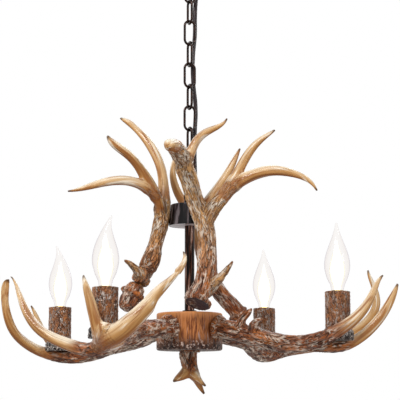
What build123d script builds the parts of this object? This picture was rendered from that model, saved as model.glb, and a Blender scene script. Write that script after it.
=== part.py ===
from build123d import *
import os
from math import cos, hypot, pi, radians, sin, sqrt, tan

# Antler chandelier on a chain. Millimetres. The origin lies on the ceiling, at the
# middle of the crossbar, +Z points up and everything hangs below z = 0.
# +Y points away from the side that is seen first, +X to its right.

# Fits
SEAT_GAP = 0.2  # between a seated piece and its seat, on the radius
THREAD_GAP = 0.1  # between a screw and its hole, on the radius
RUNNING_GAP = 0.3  # between pieces that move on each other

# Ceiling fitting
CANOPY_RADIUS = 62
CANOPY_DEPTH = 25
CANOPY_WALL = 1.2
CANOPY_ROUND = 11
CROSSBAR_LENGTH = 104
CROSSBAR_WIDTH = 18
CROSSBAR_THICKNESS = 2.2
BOX_SLOT_SPACING = 60
BOX_SLOT_LENGTH = 14
BOX_SLOT_WIDTH = 5
CANOPY_SCREW_SPACING = 88.9
CANOPY_SCREW_RADIUS = 2
CAP_NUT_RADIUS = 5
CAP_NUT_HEIGHT = 8
NIPPLE_RADIUS = 4.9
NIPPLE_BORE_RADIUS = 3.2
NIPPLE_NUT_RADIUS = 8
NIPPLE_NUT_HEIGHT = 3
COLLAR_RADIUS = 14
COLLAR_HEIGHT = 5

# Loops at the two ends of the chain
CANOPY_LOOP_RADIUS = 10
CANOPY_LOOP_WIRE = 4.5
CANOPY_BOSS_RADIUS = 8
CANOPY_BOSS_HEIGHT = 7
CANOPY_THREAD_DEPTH = 5
STEM_LOOP_RADIUS = 7
STEM_LOOP_WIRE = 4
STEM_BOSS_RADIUS = 8
STEM_BOSS_HEIGHT = 6
STEM_STUB_RADIUS = 4.9
STEM_STUB_LENGTH = 15
LOOP_SINK = 2.5  # how far a loop's crown sinks into its boss

# Chain
LINK_COUNT = 10
LINK_LENGTH = 39.5
LINK_WIDTH = 19.5
LINK_WIRE = 3.6
CHAIN_TURN = 22  # degrees that the odd links are turned from the X axis

# Supply cord
CORD_DIAMETER = 6.3
BUSHING_WALL = 2
BUSHING_LIP = 1.6
BUSHING_DEPTH = 6
CANOPY_EXIT = (15, 19)  # where the cord leaves the canopy
CUP_ENTRY = (10, 14)  # where it enters the cup
CORD_INSIDE = 9  # how far its ends reach past each hole

# Wiring cup that carries the upright antlers
CUP_HEIGHT = 31
CUP_TOP_RADIUS = 27
CUP_BOTTOM_RADIUS = 30
CUP_WALL = 1.5
CUP_PLATE_THICKNESS = 2
ANTLER_SCREW_RADIUS = 2
ANTLER_SCREW_LENGTH = 16
ANTLER_SCREW_HEAD_RADIUS = 4.2
ANTLER_SCREW_HEAD_HEIGHT = 2.4

# Stem
STEM_RADIUS = 7
STEM_WALL = 1.9
STEM_FREE_LENGTH = 125.5  # between the cup and the hub
STEM_TAIL = 15  # below the hub, screwed into the pendant antler
STEM_NUT_RADIUS = 10
STEM_NUT_HEIGHT = 4

# Wooden hub
HUB_RADIUS = 47
HUB_HEIGHT = 53
HUB_EDGE = 3
ARM_DROP = 22.5  # from the hub's top down to the arms' tenons
ARM_BASE_AZIMUTH = 235
TENON_RADIUS = 9
TENON_LENGTH = 16
ARM_ROOT_RADIUS = 12.5
ARM_BURR_SWELL = 5.5
UPRIGHT_BURR_SWELL = 4

# Pendant antler below the hub
PENDANT_RADIUS = 14

# Candle sleeves and lampholders
SOCKET_RADIUS = 228
SLEEVE_LENGTH = 66
SLEEVE_RADIUS = 16.8
SLEEVE_BORE_RADIUS = 14.2
SLEEVE_FOOT_RADIUS = 21
SLEEVE_FOOT_HEIGHT = 17
SLEEVE_FOOT_ROUND = 3.5
SLEEVE_FLOOR = 5
WIRE_HOLE_RADIUS = 4
HOLDER_RADIUS = 13.2
HOLDER_FOOT_RADIUS = 9
HOLDER_FOOT_HEIGHT = 22
HOLDER_SETBACK = 3  # from the sleeve's rim down to the lampholder's rim

# Bulbs
CAP_RADIUS = 7
CAP_LENGTH = 22
CAP_CONTACT_RADIUS = 3
CAP_CONTACT_HEIGHT = 3
CAP_SHOULDER_RADIUS = 8.4
CAP_SHOULDER_HEIGHT = 4
GLASS_WALL = 0.8
GLASS_RADIUS = 17.5
GLASS_LENGTH = 92
GLASS_NECK_RADIUS = 8.2
GLASS_TIP_RADIUS = 1.4
GLASS_TIP_BEND = 7
# Shares of the glass's length, of its radius and of its tip's bend, from the neck up
GLASS_SHAPE = [
    (0.08, 0.56, 0),
    (0.2, 0.83, 0),
    (0.36, 1, 0),
    (0.52, 0.9, 0),
    (0.68, 0.62, 0.04),
    (0.82, 0.34, 0.25),
    (0.92, 0.17, 0.6),
]
FILAMENT_STEM_RADIUS = 3.5
FILAMENT_STEM_HEIGHT = 20
FILAMENT_RADIUS = 0.9
FILAMENT_LENGTH = 30
FILAMENT_CIRCLE_RADIUS = 4

# The arms: where each sleeve stands, and how far its seat lies below the hub's middle
ARM_NAMES = ["front_left", "front_right", "back_right", "back_left"]
SOCKET_AZIMUTHS = {"front_left": 242, "front_right": 332, "back_right": 59.5, "back_left": 149.5}
SEAT_DROPS = {"front_left": 19, "front_right": 17, "back_right": 19, "back_left": 23}
TIP_BEND_AZIMUTHS = {"front_left": 0, "front_right": 262, "back_right": 94, "back_left": 170}
UPRIGHT_AZIMUTHS = {"left": 180, "front": -58, "back": 68}

# Heights, worked down from the ceiling
canopy_bottom = -CANOPY_DEPTH
boss_top = canopy_bottom - COLLAR_HEIGHT
boss_bottom = boss_top - CANOPY_BOSS_HEIGHT
canopy_loop_z = boss_bottom - CANOPY_LOOP_RADIUS + LOOP_SINK
canopy_crown_z = canopy_loop_z - CANOPY_LOOP_RADIUS
link_half = (LINK_LENGTH - LINK_WIRE) / 2
link_pitch = LINK_LENGTH - 2 * LINK_WIRE - RUNNING_GAP
first_link_z = canopy_crown_z + (CANOPY_LOOP_WIRE + LINK_WIRE) / 2 + RUNNING_GAP - link_half
last_link_z = first_link_z - link_pitch * (LINK_COUNT - 1)
last_crown_z = last_link_z - link_half
stem_crown_z = last_crown_z + (LINK_WIRE + STEM_LOOP_WIRE) / 2 + RUNNING_GAP
stem_loop_z = stem_crown_z - STEM_LOOP_RADIUS
stem_boss_top = stem_loop_z - STEM_LOOP_RADIUS + LOOP_SINK
cup_top = stem_boss_top - STEM_BOSS_HEIGHT
cup_bottom = cup_top - CUP_HEIGHT
cup_middle = (cup_top + cup_bottom) / 2
hub_top = cup_bottom - STEM_FREE_LENGTH
hub_bottom = hub_top - HUB_HEIGHT
hub_middle = (hub_top + hub_bottom) / 2
arm_z = hub_top - ARM_DROP
bushing_bore = CORD_DIAMETER / 2 + SEAT_GAP
bushing_radius = bushing_bore + BUSHING_WALL


def on_ring(azimuth, radius, z=0):
    """A point at an azimuth in degrees and a radius from the chandelier's axis."""
    return (radius * cos(radians(azimuth)), radius * sin(radians(azimuth)), z)


def facing(azimuth, radius, z):
    """A plane whose X points outward at an azimuth, Y along the ring and Z up."""
    outward = (cos(radians(azimuth)), sin(radians(azimuth)), 0)
    return Plane(origin=on_ring(azimuth, radius, z), x_dir=outward, z_dir=(0, 0, 1))


def outward(azimuth, radius, z):
    """A plane that looks outward, with its Y up, for holes and screws square to the axis."""
    across = (-sin(radians(azimuth)), cos(radians(azimuth)), 0)
    direction = (cos(radians(azimuth)), sin(radians(azimuth)), 0)
    return Plane(origin=on_ring(azimuth, radius, z), x_dir=across, z_dir=direction)


def save(part, name):
    """Labels a finished piece and writes it to its own file."""
    part.label = name
    export_step(part, f"parts/{name}.step")


def turned(profile, z, azimuth=0, radius=0):
    """Turns a closed (radius, height) outline about a vertical axis."""
    with BuildPart() as piece:
        with BuildSketch(Plane(origin=on_ring(azimuth, radius, z), x_dir=(1, 0, 0), z_dir=(0, -1, 0))):
            with BuildLine():
                Polyline(*profile, close=True)
            make_face()
        revolve(axis=Axis(on_ring(azimuth, radius, z), (0, 0, 1)))
    return piece.part


def tine(points, place):
    """Lofts one curved, tapering tine through (x, y, z, radius) points of a plane."""
    centres = [place.from_local_coords(Vector(*point[:3])) for point in points]
    bend = (centres[1] - centres[0]).cross(centres[-1] - centres[0])
    if bend.length < 1:
        bend = (centres[-1] - centres[0]).cross(Vector(0.3, 0.2, 1))
    middle = Spline(*centres)
    with BuildPart() as limb:
        for centre, point in zip(centres, points):
            tangent = middle % middle.param_at_point(centre)
            with BuildSketch(Plane(origin=centre, x_dir=bend.cross(tangent), z_dir=tangent)):
                Circle(point[3])
        loft()
    return limb.part


def burr(points, place, share, swell):
    """The knobbly ring at an antler's base, set square to its first stretch."""
    foot = place.from_local_coords(Vector(*points[0][:3]))
    direction = place.from_local_coords(Vector(*points[1][:3])) - foot
    with BuildPart() as ring:
        with Locations(Plane(origin=foot + direction * share, z_dir=direction)):
            Torus(points[0][3], swell)
    return ring.part


def antler(tines, place, burr_share, burr_swell):
    """Fuses a trunk, its burr and its tines; the trunk is the first tine."""
    limbs = [tine(points, place) for points in tines]
    ring = burr(tines[0], place, burr_share, burr_swell)
    with BuildPart() as body:
        add(limbs[0])
        add(ring)
        for limb in limbs[1:]:
            add(limb)
    return body.part


os.makedirs("parts", exist_ok=True)

# ---- Ceiling fitting ----
with BuildPart() as canopy:
    with BuildSketch(Plane.XY.offset(canopy_bottom)):
        Circle(CANOPY_RADIUS)
    extrude(amount=CANOPY_DEPTH)
    fillet(canopy.edges().sort_by(Axis.Z)[0], CANOPY_ROUND)
    offset(amount=-CANOPY_WALL, openings=canopy.faces().sort_by(Axis.Z)[-1])
    with BuildSketch(Plane.XY.offset(canopy_bottom)):
        Circle(NIPPLE_RADIUS + SEAT_GAP)
        with Locations((-CANOPY_SCREW_SPACING / 2, 0), (CANOPY_SCREW_SPACING / 2, 0)):
            Circle(CANOPY_SCREW_RADIUS + SEAT_GAP)
        with Locations(CANOPY_EXIT):
            Circle(bushing_radius + SEAT_GAP)
    extrude(amount=2 * CANOPY_WALL, mode=Mode.SUBTRACT)
save(canopy.part, "ceiling_canopy")

with BuildPart() as crossbar:
    with BuildSketch(Plane.XY.offset(-CROSSBAR_THICKNESS)):
        SlotOverall(CROSSBAR_LENGTH, CROSSBAR_WIDTH)
        Circle(NIPPLE_RADIUS + THREAD_GAP, mode=Mode.SUBTRACT)
        with Locations((-BOX_SLOT_SPACING / 2, 0), (BOX_SLOT_SPACING / 2, 0)):
            SlotOverall(BOX_SLOT_LENGTH, BOX_SLOT_WIDTH, mode=Mode.SUBTRACT)
        with Locations((-CANOPY_SCREW_SPACING / 2, 0), (CANOPY_SCREW_SPACING / 2, 0)):
            Circle(CANOPY_SCREW_RADIUS + THREAD_GAP, mode=Mode.SUBTRACT)
    extrude(amount=CROSSBAR_THICKNESS)
save(crossbar.part, "canopy_crossbar")

with BuildPart() as canopy_screws:
    with BuildSketch(Plane.XY.offset(canopy_bottom - CAP_NUT_HEIGHT / 2)):
        with Locations((-CANOPY_SCREW_SPACING / 2, 0), (CANOPY_SCREW_SPACING / 2, 0)):
            Circle(CANOPY_SCREW_RADIUS)
    extrude(amount=CANOPY_DEPTH + CAP_NUT_HEIGHT / 2 - RUNNING_GAP)
save(canopy_screws.part, "canopy_screws")

with BuildPart() as cap_nuts:
    with BuildSketch(Plane.XY.offset(canopy_bottom - CAP_NUT_HEIGHT)):
        with Locations((-CANOPY_SCREW_SPACING / 2, 0), (CANOPY_SCREW_SPACING / 2, 0)):
            Circle(CAP_NUT_RADIUS)
    extrude(amount=CAP_NUT_HEIGHT)
    fillet(cap_nuts.edges().group_by(Axis.Z)[0], CAP_NUT_RADIUS * 0.7)
    with BuildSketch(Plane.XY.offset(canopy_bottom)):
        with Locations((-CANOPY_SCREW_SPACING / 2, 0), (CANOPY_SCREW_SPACING / 2, 0)):
            Circle(CANOPY_SCREW_RADIUS + THREAD_GAP)
    extrude(amount=-CAP_NUT_HEIGHT / 2 - RUNNING_GAP, mode=Mode.SUBTRACT)
save(cap_nuts.part, "canopy_cap_nuts")

nipple_bottom = boss_top - CANOPY_THREAD_DEPTH
with BuildPart() as nipple:
    with BuildSketch(Plane.XY.offset(nipple_bottom)):
        Circle(NIPPLE_RADIUS)
        Circle(NIPPLE_BORE_RADIUS, mode=Mode.SUBTRACT)
    extrude(amount=-nipple_bottom - RUNNING_GAP)
save(nipple.part, "canopy_nipple")

with BuildPart() as nipple_nut:
    with BuildSketch(Plane.XY.offset(-CROSSBAR_THICKNESS - NIPPLE_NUT_HEIGHT)):
        RegularPolygon(NIPPLE_NUT_RADIUS, 6)
        Circle(NIPPLE_RADIUS + THREAD_GAP, mode=Mode.SUBTRACT)
    extrude(amount=NIPPLE_NUT_HEIGHT)
save(nipple_nut.part, "nipple_nut")

with BuildPart() as collar:
    with BuildSketch(Plane.XY.offset(boss_top)):
        Circle(COLLAR_RADIUS)
    extrude(amount=COLLAR_HEIGHT)
    fillet(collar.edges().sort_by(Axis.Z)[0], COLLAR_HEIGHT / 2)
    with BuildSketch(Plane.XY.offset(boss_top)):
        Circle(NIPPLE_RADIUS + THREAD_GAP)
    extrude(amount=COLLAR_HEIGHT, mode=Mode.SUBTRACT)
save(collar.part, "canopy_collar")


def standing(turn, z):
    """A vertical plane through the axis, whose X lies at a turn in degrees and Y points up."""
    along = (cos(radians(turn)), sin(radians(turn)), 0)
    normal = (sin(radians(turn)), -cos(radians(turn)), 0)
    return Plane(origin=(0, 0, z), x_dir=along, z_dir=normal)


with BuildPart() as canopy_loop:
    with BuildSketch(Plane.XY.offset(boss_bottom)):
        Circle(CANOPY_BOSS_RADIUS)
    extrude(amount=CANOPY_BOSS_HEIGHT)
    fillet(canopy_loop.edges().sort_by(Axis.Z)[0], 1.5)
    with Locations(standing(CHAIN_TURN + 90, canopy_loop_z)):
        Torus(CANOPY_LOOP_RADIUS, CANOPY_LOOP_WIRE / 2)
    with BuildSketch(Plane.XY.offset(boss_top)):
        Circle(NIPPLE_RADIUS + THREAD_GAP)
    extrude(amount=-CANOPY_THREAD_DEPTH - RUNNING_GAP, mode=Mode.SUBTRACT)
save(canopy_loop.part, "canopy_loop")

# ---- Chain of oval links, each turned a quarter from the one above ----
for number in range(1, LINK_COUNT + 1):
    link_plane = standing(CHAIN_TURN + 90 * (number - 1), first_link_z - link_pitch * (number - 1))
    crown_radius = (LINK_WIDTH - LINK_WIRE) / 2
    leg_half = link_half - crown_radius
    with BuildPart() as link:
        with BuildLine(link_plane) as link_path:
            right = Line((crown_radius, -leg_half), (crown_radius, leg_half))
            top = ThreePointArc(right @ 1, (0, link_half), (-crown_radius, leg_half))
            left = Line(top @ 1, (-crown_radius, -leg_half))
            ThreePointArc(left @ 1, (0, -link_half), right @ 0)
        with BuildSketch(Plane(origin=link_path.line @ 0, z_dir=link_path.line % 0)):
            Circle(LINK_WIRE / 2)
        sweep()
    save(link.part, f"chain_link_{number:02d}")

# ---- Supply cord, behind the chain from the canopy to the cup ----
cord_points = [
    (*CANOPY_EXIT, canopy_bottom + CORD_INSIDE),
    (14.8, 18.8, -45),
    (8.6, 10.2, -78),
    (7.3, 8.6, -108),
    (7.9, 8.9, -133),
    (4.2, 9.2, -165),
    (4.4, 8.8, -203),
    (9.6, 9.2, -244),
    (6.8, 8.7, -284),
    (7.3, 9.3, -334),
    (CUP_ENTRY[0] - 0.2, CUP_ENTRY[1] - 0.2, cup_top + 18),
    (*CUP_ENTRY, cup_top - CORD_INSIDE),
]
cord_radii = []
for before, corner, after in zip(cord_points, cord_points[1:], cord_points[2:]):
    run_in = Vector(*corner) - Vector(*before)
    run_out = Vector(*after) - Vector(*corner)
    half_turn = radians(run_in.get_angle(run_out)) / 2
    cord_radii.append(0.45 * min(run_in.length, run_out.length) / tan(half_turn))
print("cord radii", [round(radius) for radius in cord_radii])

with BuildPart() as cord:
    with BuildLine() as cord_path:
        FilletPolyline(*cord_points, radius=cord_radii)
    with BuildSketch(Plane(origin=cord_path.wire() @ 0, z_dir=cord_path.wire() % 0)):
        Circle(CORD_DIAMETER / 2)
    sweep()
cord_length = cord_path.wire().length
cord_volume = pi * (CORD_DIAMETER / 2) ** 2 * cord_length
print("cord length", round(cord_length, 1), "volume", round(cord.part.volume), "expected", round(cord_volume))
save(cord.part, "supply_cord")

for name, spot, lip_z, lip_side in (
    ("canopy_bushing", CANOPY_EXIT, canopy_bottom, -1),
    ("cup_bushing", CUP_ENTRY, cup_top, 1),
):
    with BuildPart() as bushing:
        with BuildSketch(Plane.XY.offset(lip_z)):
            with Locations(spot):
                Circle(bushing_radius + BUSHING_LIP)
        extrude(amount=lip_side * BUSHING_LIP)
        with BuildSketch(Plane.XY.offset(lip_z)):
            with Locations(spot):
                Circle(bushing_radius)
        extrude(amount=-lip_side * BUSHING_DEPTH)
        with BuildSketch(Plane.XY.offset(lip_z + lip_side * BUSHING_LIP)):
            with Locations(spot):
                Circle(bushing_bore)
        extrude(amount=-lip_side * (BUSHING_LIP + BUSHING_DEPTH), mode=Mode.SUBTRACT)
    save(bushing.part, name)

# ---- Loop, wiring cup and stem ----
stub_bottom = cup_top - STEM_STUB_LENGTH
with BuildPart() as stem_loop:
    with BuildSketch(Plane.XY.offset(cup_top)):
        Circle(STEM_BOSS_RADIUS)
    extrude(amount=STEM_BOSS_HEIGHT)
    fillet(stem_loop.edges().sort_by(Axis.Z)[-1], 1.5)
    with BuildSketch(Plane.XY.offset(stub_bottom)):
        Circle(STEM_STUB_RADIUS)
    extrude(amount=STEM_STUB_LENGTH)
    with Locations(standing(CHAIN_TURN, stem_loop_z)):
        Torus(STEM_LOOP_RADIUS, STEM_LOOP_WIRE / 2)
save(stem_loop.part, "stem_loop")

cup_shell = [
    (0, CUP_HEIGHT),
    (CUP_TOP_RADIUS, CUP_HEIGHT),
    (CUP_BOTTOM_RADIUS, 0),
    (CUP_BOTTOM_RADIUS - CUP_WALL, 0),
    (CUP_TOP_RADIUS - CUP_WALL, CUP_HEIGHT - CUP_WALL),
    (0, CUP_HEIGHT - CUP_WALL),
]
cup_body = turned(cup_shell, cup_bottom)
with BuildPart() as cup:
    add(cup_body)
    fillet(cup.edges().filter_by(GeomType.CIRCLE).sort_by(Axis.Z)[-1], CUP_WALL * 0.9)
    with BuildSketch(Plane.XY.offset(cup_top)):
        Circle(STEM_STUB_RADIUS + THREAD_GAP)
        with Locations(CUP_ENTRY):
            Circle(bushing_radius + SEAT_GAP)
    extrude(amount=-2 * CUP_WALL, mode=Mode.SUBTRACT)
    for azimuth in UPRIGHT_AZIMUTHS.values():
        with BuildSketch(outward(azimuth, CUP_TOP_RADIUS - 4 * CUP_WALL, cup_middle)):
            Circle(ANTLER_SCREW_RADIUS + THREAD_GAP)
        extrude(amount=CUP_BOTTOM_RADIUS, mode=Mode.SUBTRACT)
save(cup.part, "wiring_cup")

plate_radius = CUP_BOTTOM_RADIUS - CUP_WALL - 3 * SEAT_GAP
with BuildPart() as cup_plate:
    with BuildSketch(Plane.XY.offset(cup_bottom)):
        Circle(plate_radius)
        Circle(STEM_RADIUS + THREAD_GAP, mode=Mode.SUBTRACT)
    extrude(amount=CUP_PLATE_THICKNESS)
save(cup_plate.part, "cup_plate")

stem_top = cup_top - CUP_WALL
with BuildPart() as stem:
    with BuildSketch(Plane.XY.offset(hub_bottom - STEM_TAIL)):
        Circle(STEM_RADIUS)
        Circle(STEM_RADIUS - STEM_WALL, mode=Mode.SUBTRACT)
    extrude(amount=stem_top - hub_bottom + STEM_TAIL)
save(stem.part, "stem_tube")

with BuildPart() as stem_nuts:
    for nut_z in (cup_bottom + CUP_PLATE_THICKNESS, hub_top):
        with BuildSketch(Plane.XY.offset(nut_z)):
            RegularPolygon(STEM_NUT_RADIUS, 6)
            Circle(STEM_RADIUS + THREAD_GAP, mode=Mode.SUBTRACT)
        extrude(amount=STEM_NUT_HEIGHT)
save(stem_nuts.part, "stem_nuts")

# ---- Hub ----
mortise_radius = TENON_RADIUS + SEAT_GAP
base_azimuths = {name: ARM_BASE_AZIMUTH + 90 * place for place, name in enumerate(ARM_NAMES)}
with BuildPart() as hub:
    with BuildSketch(Plane.XY.offset(hub_bottom)):
        Circle(HUB_RADIUS)
        Circle(STEM_RADIUS + SEAT_GAP, mode=Mode.SUBTRACT)
    extrude(amount=HUB_HEIGHT)
    fillet(hub.edges().filter_by(GeomType.CIRCLE).group_by(SortBy.RADIUS)[-1], HUB_EDGE)
    for azimuth in base_azimuths.values():
        with BuildSketch(outward(azimuth, HUB_RADIUS - TENON_LENGTH - SEAT_GAP, arm_z)):
            Circle(mortise_radius)
        extrude(amount=HUB_RADIUS, mode=Mode.SUBTRACT)
save(hub.part, "wooden_hub")

# ---- Pendant antler, upside down below the hub ----
pendant_tines = [
    [(0, 0, 2, PENDANT_RADIUS), (-1, 0, -12, 11.5), (-2, 0, -26, 9), (-12, 0, -36, 6.2), (-23, 0, -44, 1.4)],
    [(-1, 0, -14, 8), (4, -1, -28, 7), (12, -4, -40, 4.6), (23, -6, -50, 1.4)],
    [(1, 0, -20, 6), (7, 2, -34, 6), (14, 5, -49, 4), (21, 8, -61, 1.4)],
]
pendant_plane = Plane.XY.offset(hub_bottom)
pendant = antler(pendant_tines, pendant_plane, 0.15, 1.8)
with BuildPart() as pendant_antler:
    add(pendant)
    with BuildSketch(pendant_plane):
        Circle(STEM_RADIUS + THREAD_GAP)
    extrude(amount=-STEM_TAIL - RUNNING_GAP, mode=Mode.SUBTRACT)
    with BuildSketch(pendant_plane):
        Circle(2 * PENDANT_RADIUS)
    extrude(amount=PENDANT_RADIUS, mode=Mode.SUBTRACT)
save(pendant_antler.part, "pendant_antler")

# ---- Candle sleeves, lampholders and bulbs ----
seats = {name: hub_middle - SEAT_DROPS[name] for name in ARM_NAMES}


def sleeve_outside(place, grow):
    """The outside of a candle sleeve, grown all round by a gap."""
    with BuildPart() as body:
        with BuildSketch(place):
            Circle(SLEEVE_FOOT_RADIUS + grow)
        extrude(amount=SLEEVE_FOOT_HEIGHT + grow)
        fillet(body.edges().filter_by(GeomType.CIRCLE).sort_by(Axis.Z)[-1], SLEEVE_FOOT_ROUND)
        with BuildSketch(place):
            Circle(SLEEVE_RADIUS + grow)
        extrude(amount=SLEEVE_LENGTH)
    return body.part


def glass_loft(place, bend, wall):
    """A flame-shaped body with a bent tip, set inward by a wall."""
    bend_x = cos(radians(bend))
    bend_y = sin(radians(bend))
    stations = [(0, GLASS_NECK_RADIUS, 0)]
    stations += [(share, GLASS_RADIUS * width, lean) for share, width, lean in GLASS_SHAPE]
    if wall == 0:
        stations.append((1, GLASS_TIP_RADIUS, 1))
    with BuildPart() as body:
        for share, radius, lean in stations:
            shift = (GLASS_TIP_BEND * lean * bend_x, GLASS_TIP_BEND * lean * bend_y)
            with BuildSketch(place.offset(GLASS_LENGTH * share)):
                with Locations(shift):
                    Circle(radius - wall)
        loft()
    return body.part


holder_height = SLEEVE_LENGTH - SLEEVE_FLOOR - HOLDER_SETBACK
bore_depth = CAP_LENGTH + CAP_CONTACT_HEIGHT + RUNNING_GAP
for name in ARM_NAMES:
    seat_plane = Plane(origin=on_ring(SOCKET_AZIMUTHS[name], SOCKET_RADIUS, seats[name]))
    sleeve_body = sleeve_outside(seat_plane, 0)
    with BuildPart() as sleeve:
        add(sleeve_body)
        with BuildSketch(seat_plane.offset(SLEEVE_FLOOR)):
            Circle(SLEEVE_BORE_RADIUS)
        extrude(amount=SLEEVE_LENGTH, mode=Mode.SUBTRACT)
        with BuildSketch(seat_plane):
            Circle(WIRE_HOLE_RADIUS)
        extrude(amount=SLEEVE_FLOOR, mode=Mode.SUBTRACT)
    save(sleeve.part, f"sleeve_{name}")

    floor_plane = seat_plane.offset(SLEEVE_FLOOR)
    rim_plane = floor_plane.offset(holder_height)
    with BuildPart() as holder:
        with BuildSketch(floor_plane):
            Circle(HOLDER_FOOT_RADIUS)
        extrude(amount=holder_height)
        with BuildSketch(floor_plane.offset(HOLDER_FOOT_HEIGHT)):
            Circle(HOLDER_RADIUS)
        extrude(amount=holder_height - HOLDER_FOOT_HEIGHT)
        with BuildSketch(rim_plane):
            Circle(CAP_RADIUS + RUNNING_GAP)
        extrude(amount=-bore_depth, mode=Mode.SUBTRACT)
        with BuildSketch(floor_plane):
            Circle(WIRE_HOLE_RADIUS)
        extrude(amount=HOLDER_FOOT_HEIGHT / 2, mode=Mode.SUBTRACT)
    save(holder.part, f"lampholder_{name}")

    shoulder_plane = rim_plane.offset(RUNNING_GAP)
    with BuildPart() as cap:
        with BuildSketch(shoulder_plane):
            Circle(CAP_SHOULDER_RADIUS)
        extrude(amount=CAP_SHOULDER_HEIGHT)
        with BuildSketch(shoulder_plane):
            Circle(CAP_RADIUS)
        extrude(amount=-CAP_LENGTH)
        with BuildSketch(shoulder_plane.offset(-CAP_LENGTH)):
            Circle(CAP_CONTACT_RADIUS)
        extrude(amount=-CAP_CONTACT_HEIGHT)
    save(cap.part, f"bulb_cap_{name}")

    neck_plane = shoulder_plane.offset(CAP_SHOULDER_HEIGHT)
    outer = glass_loft(neck_plane, TIP_BEND_AZIMUTHS[name], 0)
    inner = glass_loft(neck_plane, TIP_BEND_AZIMUTHS[name], GLASS_WALL)
    with BuildPart() as glass:
        add(outer)
        add(inner, mode=Mode.SUBTRACT)
    save(glass.part, f"bulb_glass_{name}")

    with BuildPart() as filament:
        with BuildSketch(neck_plane):
            Circle(FILAMENT_STEM_RADIUS)
        extrude(amount=FILAMENT_STEM_HEIGHT)
        with BuildSketch(neck_plane.offset(FILAMENT_STEM_HEIGHT - 3)):
            with PolarLocations(FILAMENT_CIRCLE_RADIUS, 4):
                Circle(FILAMENT_RADIUS)
        extrude(amount=FILAMENT_LENGTH)
    save(filament.part, f"bulb_filament_{name}")

# ---- Arms: an antler each from the hub to its sleeve and beyond ----
reach = SOCKET_RADIUS - HUB_RADIUS
arm_planes = {name: facing(SOCKET_AZIMUTHS[name], SOCKET_RADIUS, hub_middle) for name in ARM_NAMES}


def roots(name):
    """Where an arm leaves the hub: its first two trunk points."""
    place = arm_planes[name]
    points = []
    for radius, z in ((HUB_RADIUS - 4, arm_z), (HUB_RADIUS + 14, arm_z - 2)):
        point = place.to_local_coords(Vector(*on_ring(base_azimuths[name], radius, z)))
        points.append((point.X, point.Y, point.Z, ARM_ROOT_RADIUS))
    return points


arm_tines = {
    "front_left": [
        roots("front_left")
        + [(-0.613 * reach, -7, -2, 12.5), (-0.309 * reach, -4, -12, 12.5), (1, 6, -23, 12.5), (24, 8, -28, 9)],
        [(20, 10, -26, 9), (29, 11, -20, 8.3), (39, 9, 4, 7.4), (45, 4, 31, 6), (46, -4, 59, 1.3)],
        [(16, 6, -26, 9.5), (28, 20, -23, 9.5), (29, 37, -15, 8.8), (19, 60, 8, 8), (1, 81, 40, 6.3), (-26, 100, 91, 1.3)],
        [(20, 12, -30, 7), (24, -8, -34, 8.6), (24, -37, -28, 8), (26, -73, -13, 7.2), (28, -103, 16, 5.3), (28, -129, 64, 1.3)],
    ],
    "front_right": [
        roots("front_right")
        + [(-0.663 * reach, -19, -9, 12.5), (-0.331 * reach, -26, -22, 11.5), (-9, -35, -16, 9.6)]
        + [(30, -26, 6, 7.4), (52, -8, 40, 5), (63, 7, 69, 1.4)],
        [(-0.304 * reach, -22, -24, 10), (-22, -4, -24, 8.6), (4, 30, -20, 7.6), (35, 54, 9, 6.6), (54, 62, 40, 5), (63, 64, 62, 1.5)],
        [(-0.785 * reach, -16, -4, 6.5), (-0.718 * reach, -27, 15, 5.2), (-0.674 * reach, -27, 23, 4), (-0.641 * reach, -26, 28, 1.2)],
        [(-0.652 * reach, -20, -8, 6), (-0.597 * reach, -34, 8, 4), (-0.53 * reach, -34, 13, 1.5)],
    ],
    "back_right": [
        roots("back_right")
        + [(-0.657 * reach, -18, -5, 12.8), (-0.376 * reach, -15, -15, 12.8), (-13, -10, -22, 15), (16, -28, -18, 10.5)]
        + [(44, -58, -12, 10), (81, -130, 19, 7.5), (89, -151, 50, 6.6), (85, -150, 80, 4.6), (79, -143, 107, 1.5)],
    ],
    "back_left": [
        roots("back_left")
        + [(-0.663 * reach, -11, -11, 12.5), (-0.337 * reach, -14, -24, 11), (-10, -6, -31, 10)]
        + [(23, 16, -23, 8.4), (42, 50, 0, 7.3), (46, 72, 36, 6.3), (35, 81, 81, 1.4)],
        [(-14, -10, -28, 8), (20, -27, -22, 7.2), (37, -18, -2, 5.8), (51, -12, 26, 4), (59, -5, 48, 1.3)],
    ],
}
for name in ARM_NAMES:
    seat_plane = Plane(origin=on_ring(SOCKET_AZIMUTHS[name], SOCKET_RADIUS, seats[name]))
    limbs = antler(arm_tines[name], arm_planes[name], 0.45, ARM_BURR_SWELL)
    sleeve_space = sleeve_outside(seat_plane, SEAT_GAP)
    with BuildPart() as arm:
        add(limbs)
        with BuildSketch(Plane.XY.offset(hub_bottom)):
            Circle(HUB_RADIUS + SEAT_GAP)
        extrude(amount=HUB_HEIGHT, mode=Mode.SUBTRACT)
        add(sleeve_space, mode=Mode.SUBTRACT)
        with BuildSketch(outward(base_azimuths[name], HUB_RADIUS - TENON_LENGTH, arm_z)):
            Circle(TENON_RADIUS)
        extrude(amount=TENON_LENGTH + TENON_RADIUS)
    print(name, len(arm.part.solids()), round(arm.part.volume), arm.part.is_valid)
    save(arm.part, f"arm_{name}")

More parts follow.
